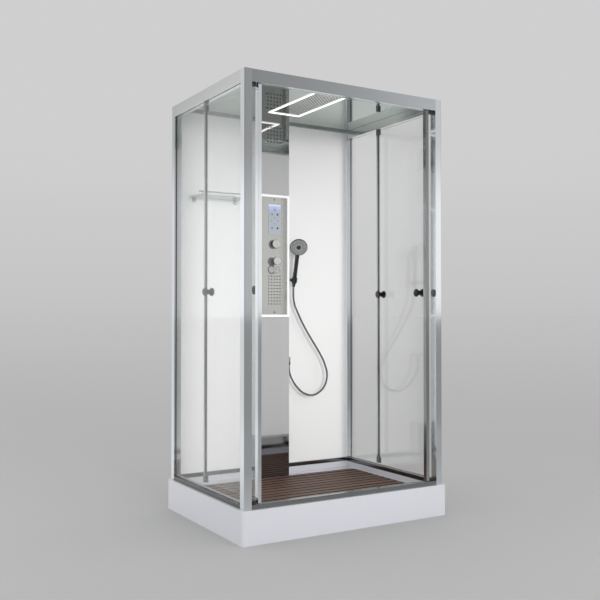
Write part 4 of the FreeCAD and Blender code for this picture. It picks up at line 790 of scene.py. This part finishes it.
dark_marks = [dot_mark(*dot) for dot in DARK_DOTS]
dark_marks += [arrow_mark(*arrow) for arrow in DARK_ARROWS]
piece("touch_marks", joined("touch_marks", *dark_marks), mark_ink)
pale_marks = [ring_mark(*ring) for ring in PALE_RINGS]
pale_marks += [arrow_mark(*arrow) for arrow in PALE_ARROWS]
piece("pale_touch_marks", joined("pale_touch_marks", *pale_marks), pale_ink)

# Stage: the floor, what it shows by distance, and the painted reflection of it that gloss sees, by
# depth
FLOOR_HALF = 200.0
FLOOR_STOPS = [(0.0, grey(0.42)), (0.2, grey(0.43)), (0.40, grey(0.475)), (0.60, grey(0.515)),
               (0.8, grey(0.53)), (1.0, grey(0.535))]
PAINTED_REFLECTION_STOPS = [(0.0, grey(0.27)), (1.0, grey(0.70))]
PAINTED_REFLECTION_FRONT = -2.0
PAINTED_REFLECTION_REAR = 1.5


def floor_material():
    """Pale floor that lightens with the distance; gloss sees a painted reflection of it, darker in
    front.
    """
    made, tree, main = shader("floor", grey(0.45), roughness=0.95, Specular_IOR_Level=0.1)
    source = tree.nodes.new("ShaderNodeTexCoord")
    far = tree.nodes.new("ShaderNodeVectorMath")
    far.operation = "LENGTH"
    tree.links.new(source.outputs["Object"], far.inputs[0])
    distance = reckoned(tree, "LOGARITHM", far.outputs["Value"], FLOOR_HALF)
    depth = share_of(tree, axes(tree, "Object")["Y"], PAINTED_REFLECTION_FRONT, PAINTED_REFLECTION_REAR)
    path = tree.nodes.new("ShaderNodeLightPath")
    either = tree.nodes.new("ShaderNodeMix")
    either.data_type = "RGBA"
    # painted reflection: glossy rays see a floor colour that is darker in front
    tree.links.new(path.outputs["Is Glossy Ray"], either.inputs["Factor"])
    tree.links.new(ramp(tree, distance, FLOOR_STOPS), either.inputs["A"])
    tree.links.new(ramp(tree, depth, PAINTED_REFLECTION_STOPS), either.inputs["B"])
    tree.links.new(either.outputs["Result"], main.inputs["Base Color"])
    return made


floor_mesh = bpy.data.meshes.new("floor")
floor_mesh.from_pydata([(-FLOOR_HALF, -FLOOR_HALF, 0), (FLOOR_HALF, -FLOOR_HALF, 0),
                        (FLOOR_HALF, FLOOR_HALF, 0), (-FLOOR_HALF, FLOOR_HALF, 0)], [],
                       [(0, 1, 2, 3)])
floor_mesh.materials.append(floor_material())
floor = bpy.data.objects.new("floor", floor_mesh)
bpy.context.scene.collection.objects.link(floor)


# Lamps: their size in metres, power in watts and spread in degrees
def softbox(name, spot, aim, size, power, spread=180):
    """An area lamp that faces a point and shows in no reflection."""
    data = bpy.data.lights.new(name, "AREA")
    data.shape = "RECTANGLE"
    data.size, data.size_y = size
    data.energy = power
    data.spread = math.radians(spread)
    lamp = bpy.data.objects.new(name, data)
    lamp.location = spot
    lamp.rotation_euler = (Vector(aim) - Vector(spot)).to_track_quat("-Z", "Y").to_euler()
    lamp.visible_glossy = False
    bpy.context.scene.collection.objects.link(lamp)


softbox("left", (-4.4, 0.6, 2.0), aim=(0, 0, 0.9), size=(2.4, 2.6), power=38)
softbox("right_front", (2.8, -2.9, 1.7), aim=(0.4, -0.4, 0.3), size=(1.4, 1.4), power=19)
softbox("front", (-0.4, -5.2, 1.9), aim=(0.0, 0.45, 1.15), size=(1.6, 1.4), power=11.5,
        spread=54)

# What the camera sees behind the object, by the sine of the height above the horizon
SEEN_RANGE = (-0.03, 0.22)
SEEN_STOPS = [(0.0, 0.535), (0.12, 0.539), (0.19, 0.556), (0.48, 0.584), (0.76, 0.617),
              (1.0, 0.624)]
# What polished metal reflects, by the turn round Z, from 0 at the rear by way of the left
STUDIO_STOPS = [(0.0, 0.60), (0.055, 0.66), (0.075, 1.0), (0.16, 1.0), (0.24, 0.42),
                (0.33, 0.60), (0.42, 0.30), (0.55, 0.42), (0.576, 0.48), (0.596, 0.60),
                (0.612, 0.95), (0.66, 0.95), (0.72, 0.46), (0.80, 0.42), (0.90, 0.58),
                (1.0, 0.60)]
# and how that darkens by the sine of the height above the horizon, from -1 to 1
STUDIO_HEIGHT_STOPS = [(0.0, 0.75), (0.42, 0.85), (0.49, 1.0), (0.56, 1.0), (0.605, 0.64),
                       (0.70, 0.62), (1.0, 0.80)]
EVEN_LIGHT = 1.0


def background():
    """A grey studio for what is seen and for what is reflected, and even light."""
    world = bpy.data.worlds.new("studio")
    bpy.context.scene.world = world
    world.use_nodes = True
    tree = world.node_tree

    def greys(value, stops, smooth="LINEAR"):
        return ramp(tree, value, [(place, grey(level)) for place, level in stops], smooth)

    def lit(colour=None):
        """A background of a colour, or plain white at the even light's strength."""
        node = tree.nodes.new("ShaderNodeBackground")
        if colour is None:
            node.inputs["Color"].default_value = (*grey(1), 1)
            node.inputs["Strength"].default_value = EVEN_LIGHT
        else:
            tree.links.new(colour, node.inputs["Color"])
        return node

    def mixed(share, first, second):
        node = tree.nodes.new("ShaderNodeMixShader")
        tree.links.new(share, node.inputs[0])
        tree.links.new(first.outputs[0], node.inputs[1])
        tree.links.new(second.outputs[0], node.inputs[2])
        return node

    towards = axes(tree, "Generated")
    seen = lit(greys(share_of(tree, towards["Z"], *SEEN_RANGE), SEEN_STOPS))
    ahead = reckoned(tree, "MULTIPLY", towards["Y"], -1)
    turn = share_of(tree, reckoned(tree, "ARCTAN2", towards["X"], ahead), -math.pi, math.pi)
    height = share_of(tree, towards["Z"], -1, 1)
    studio = lit(product(tree, greys(turn, STUDIO_STOPS, "EASE"),
                         greys(height, STUDIO_HEIGHT_STOPS, "EASE")))
    path = tree.nodes.new("ShaderNodeLightPath").outputs
    straight = reckoned(tree, "MAXIMUM", path["Is Camera Ray"], path["Is Transmission Ray"])
    whole = mixed(path["Is Glossy Ray"], mixed(straight, lit(), seen), studio)
    tree.links.new(whole.outputs[0], tree.nodes["World Output"].inputs["Surface"])


background()
bpy.context.scene.view_settings.view_transform = "Standard"
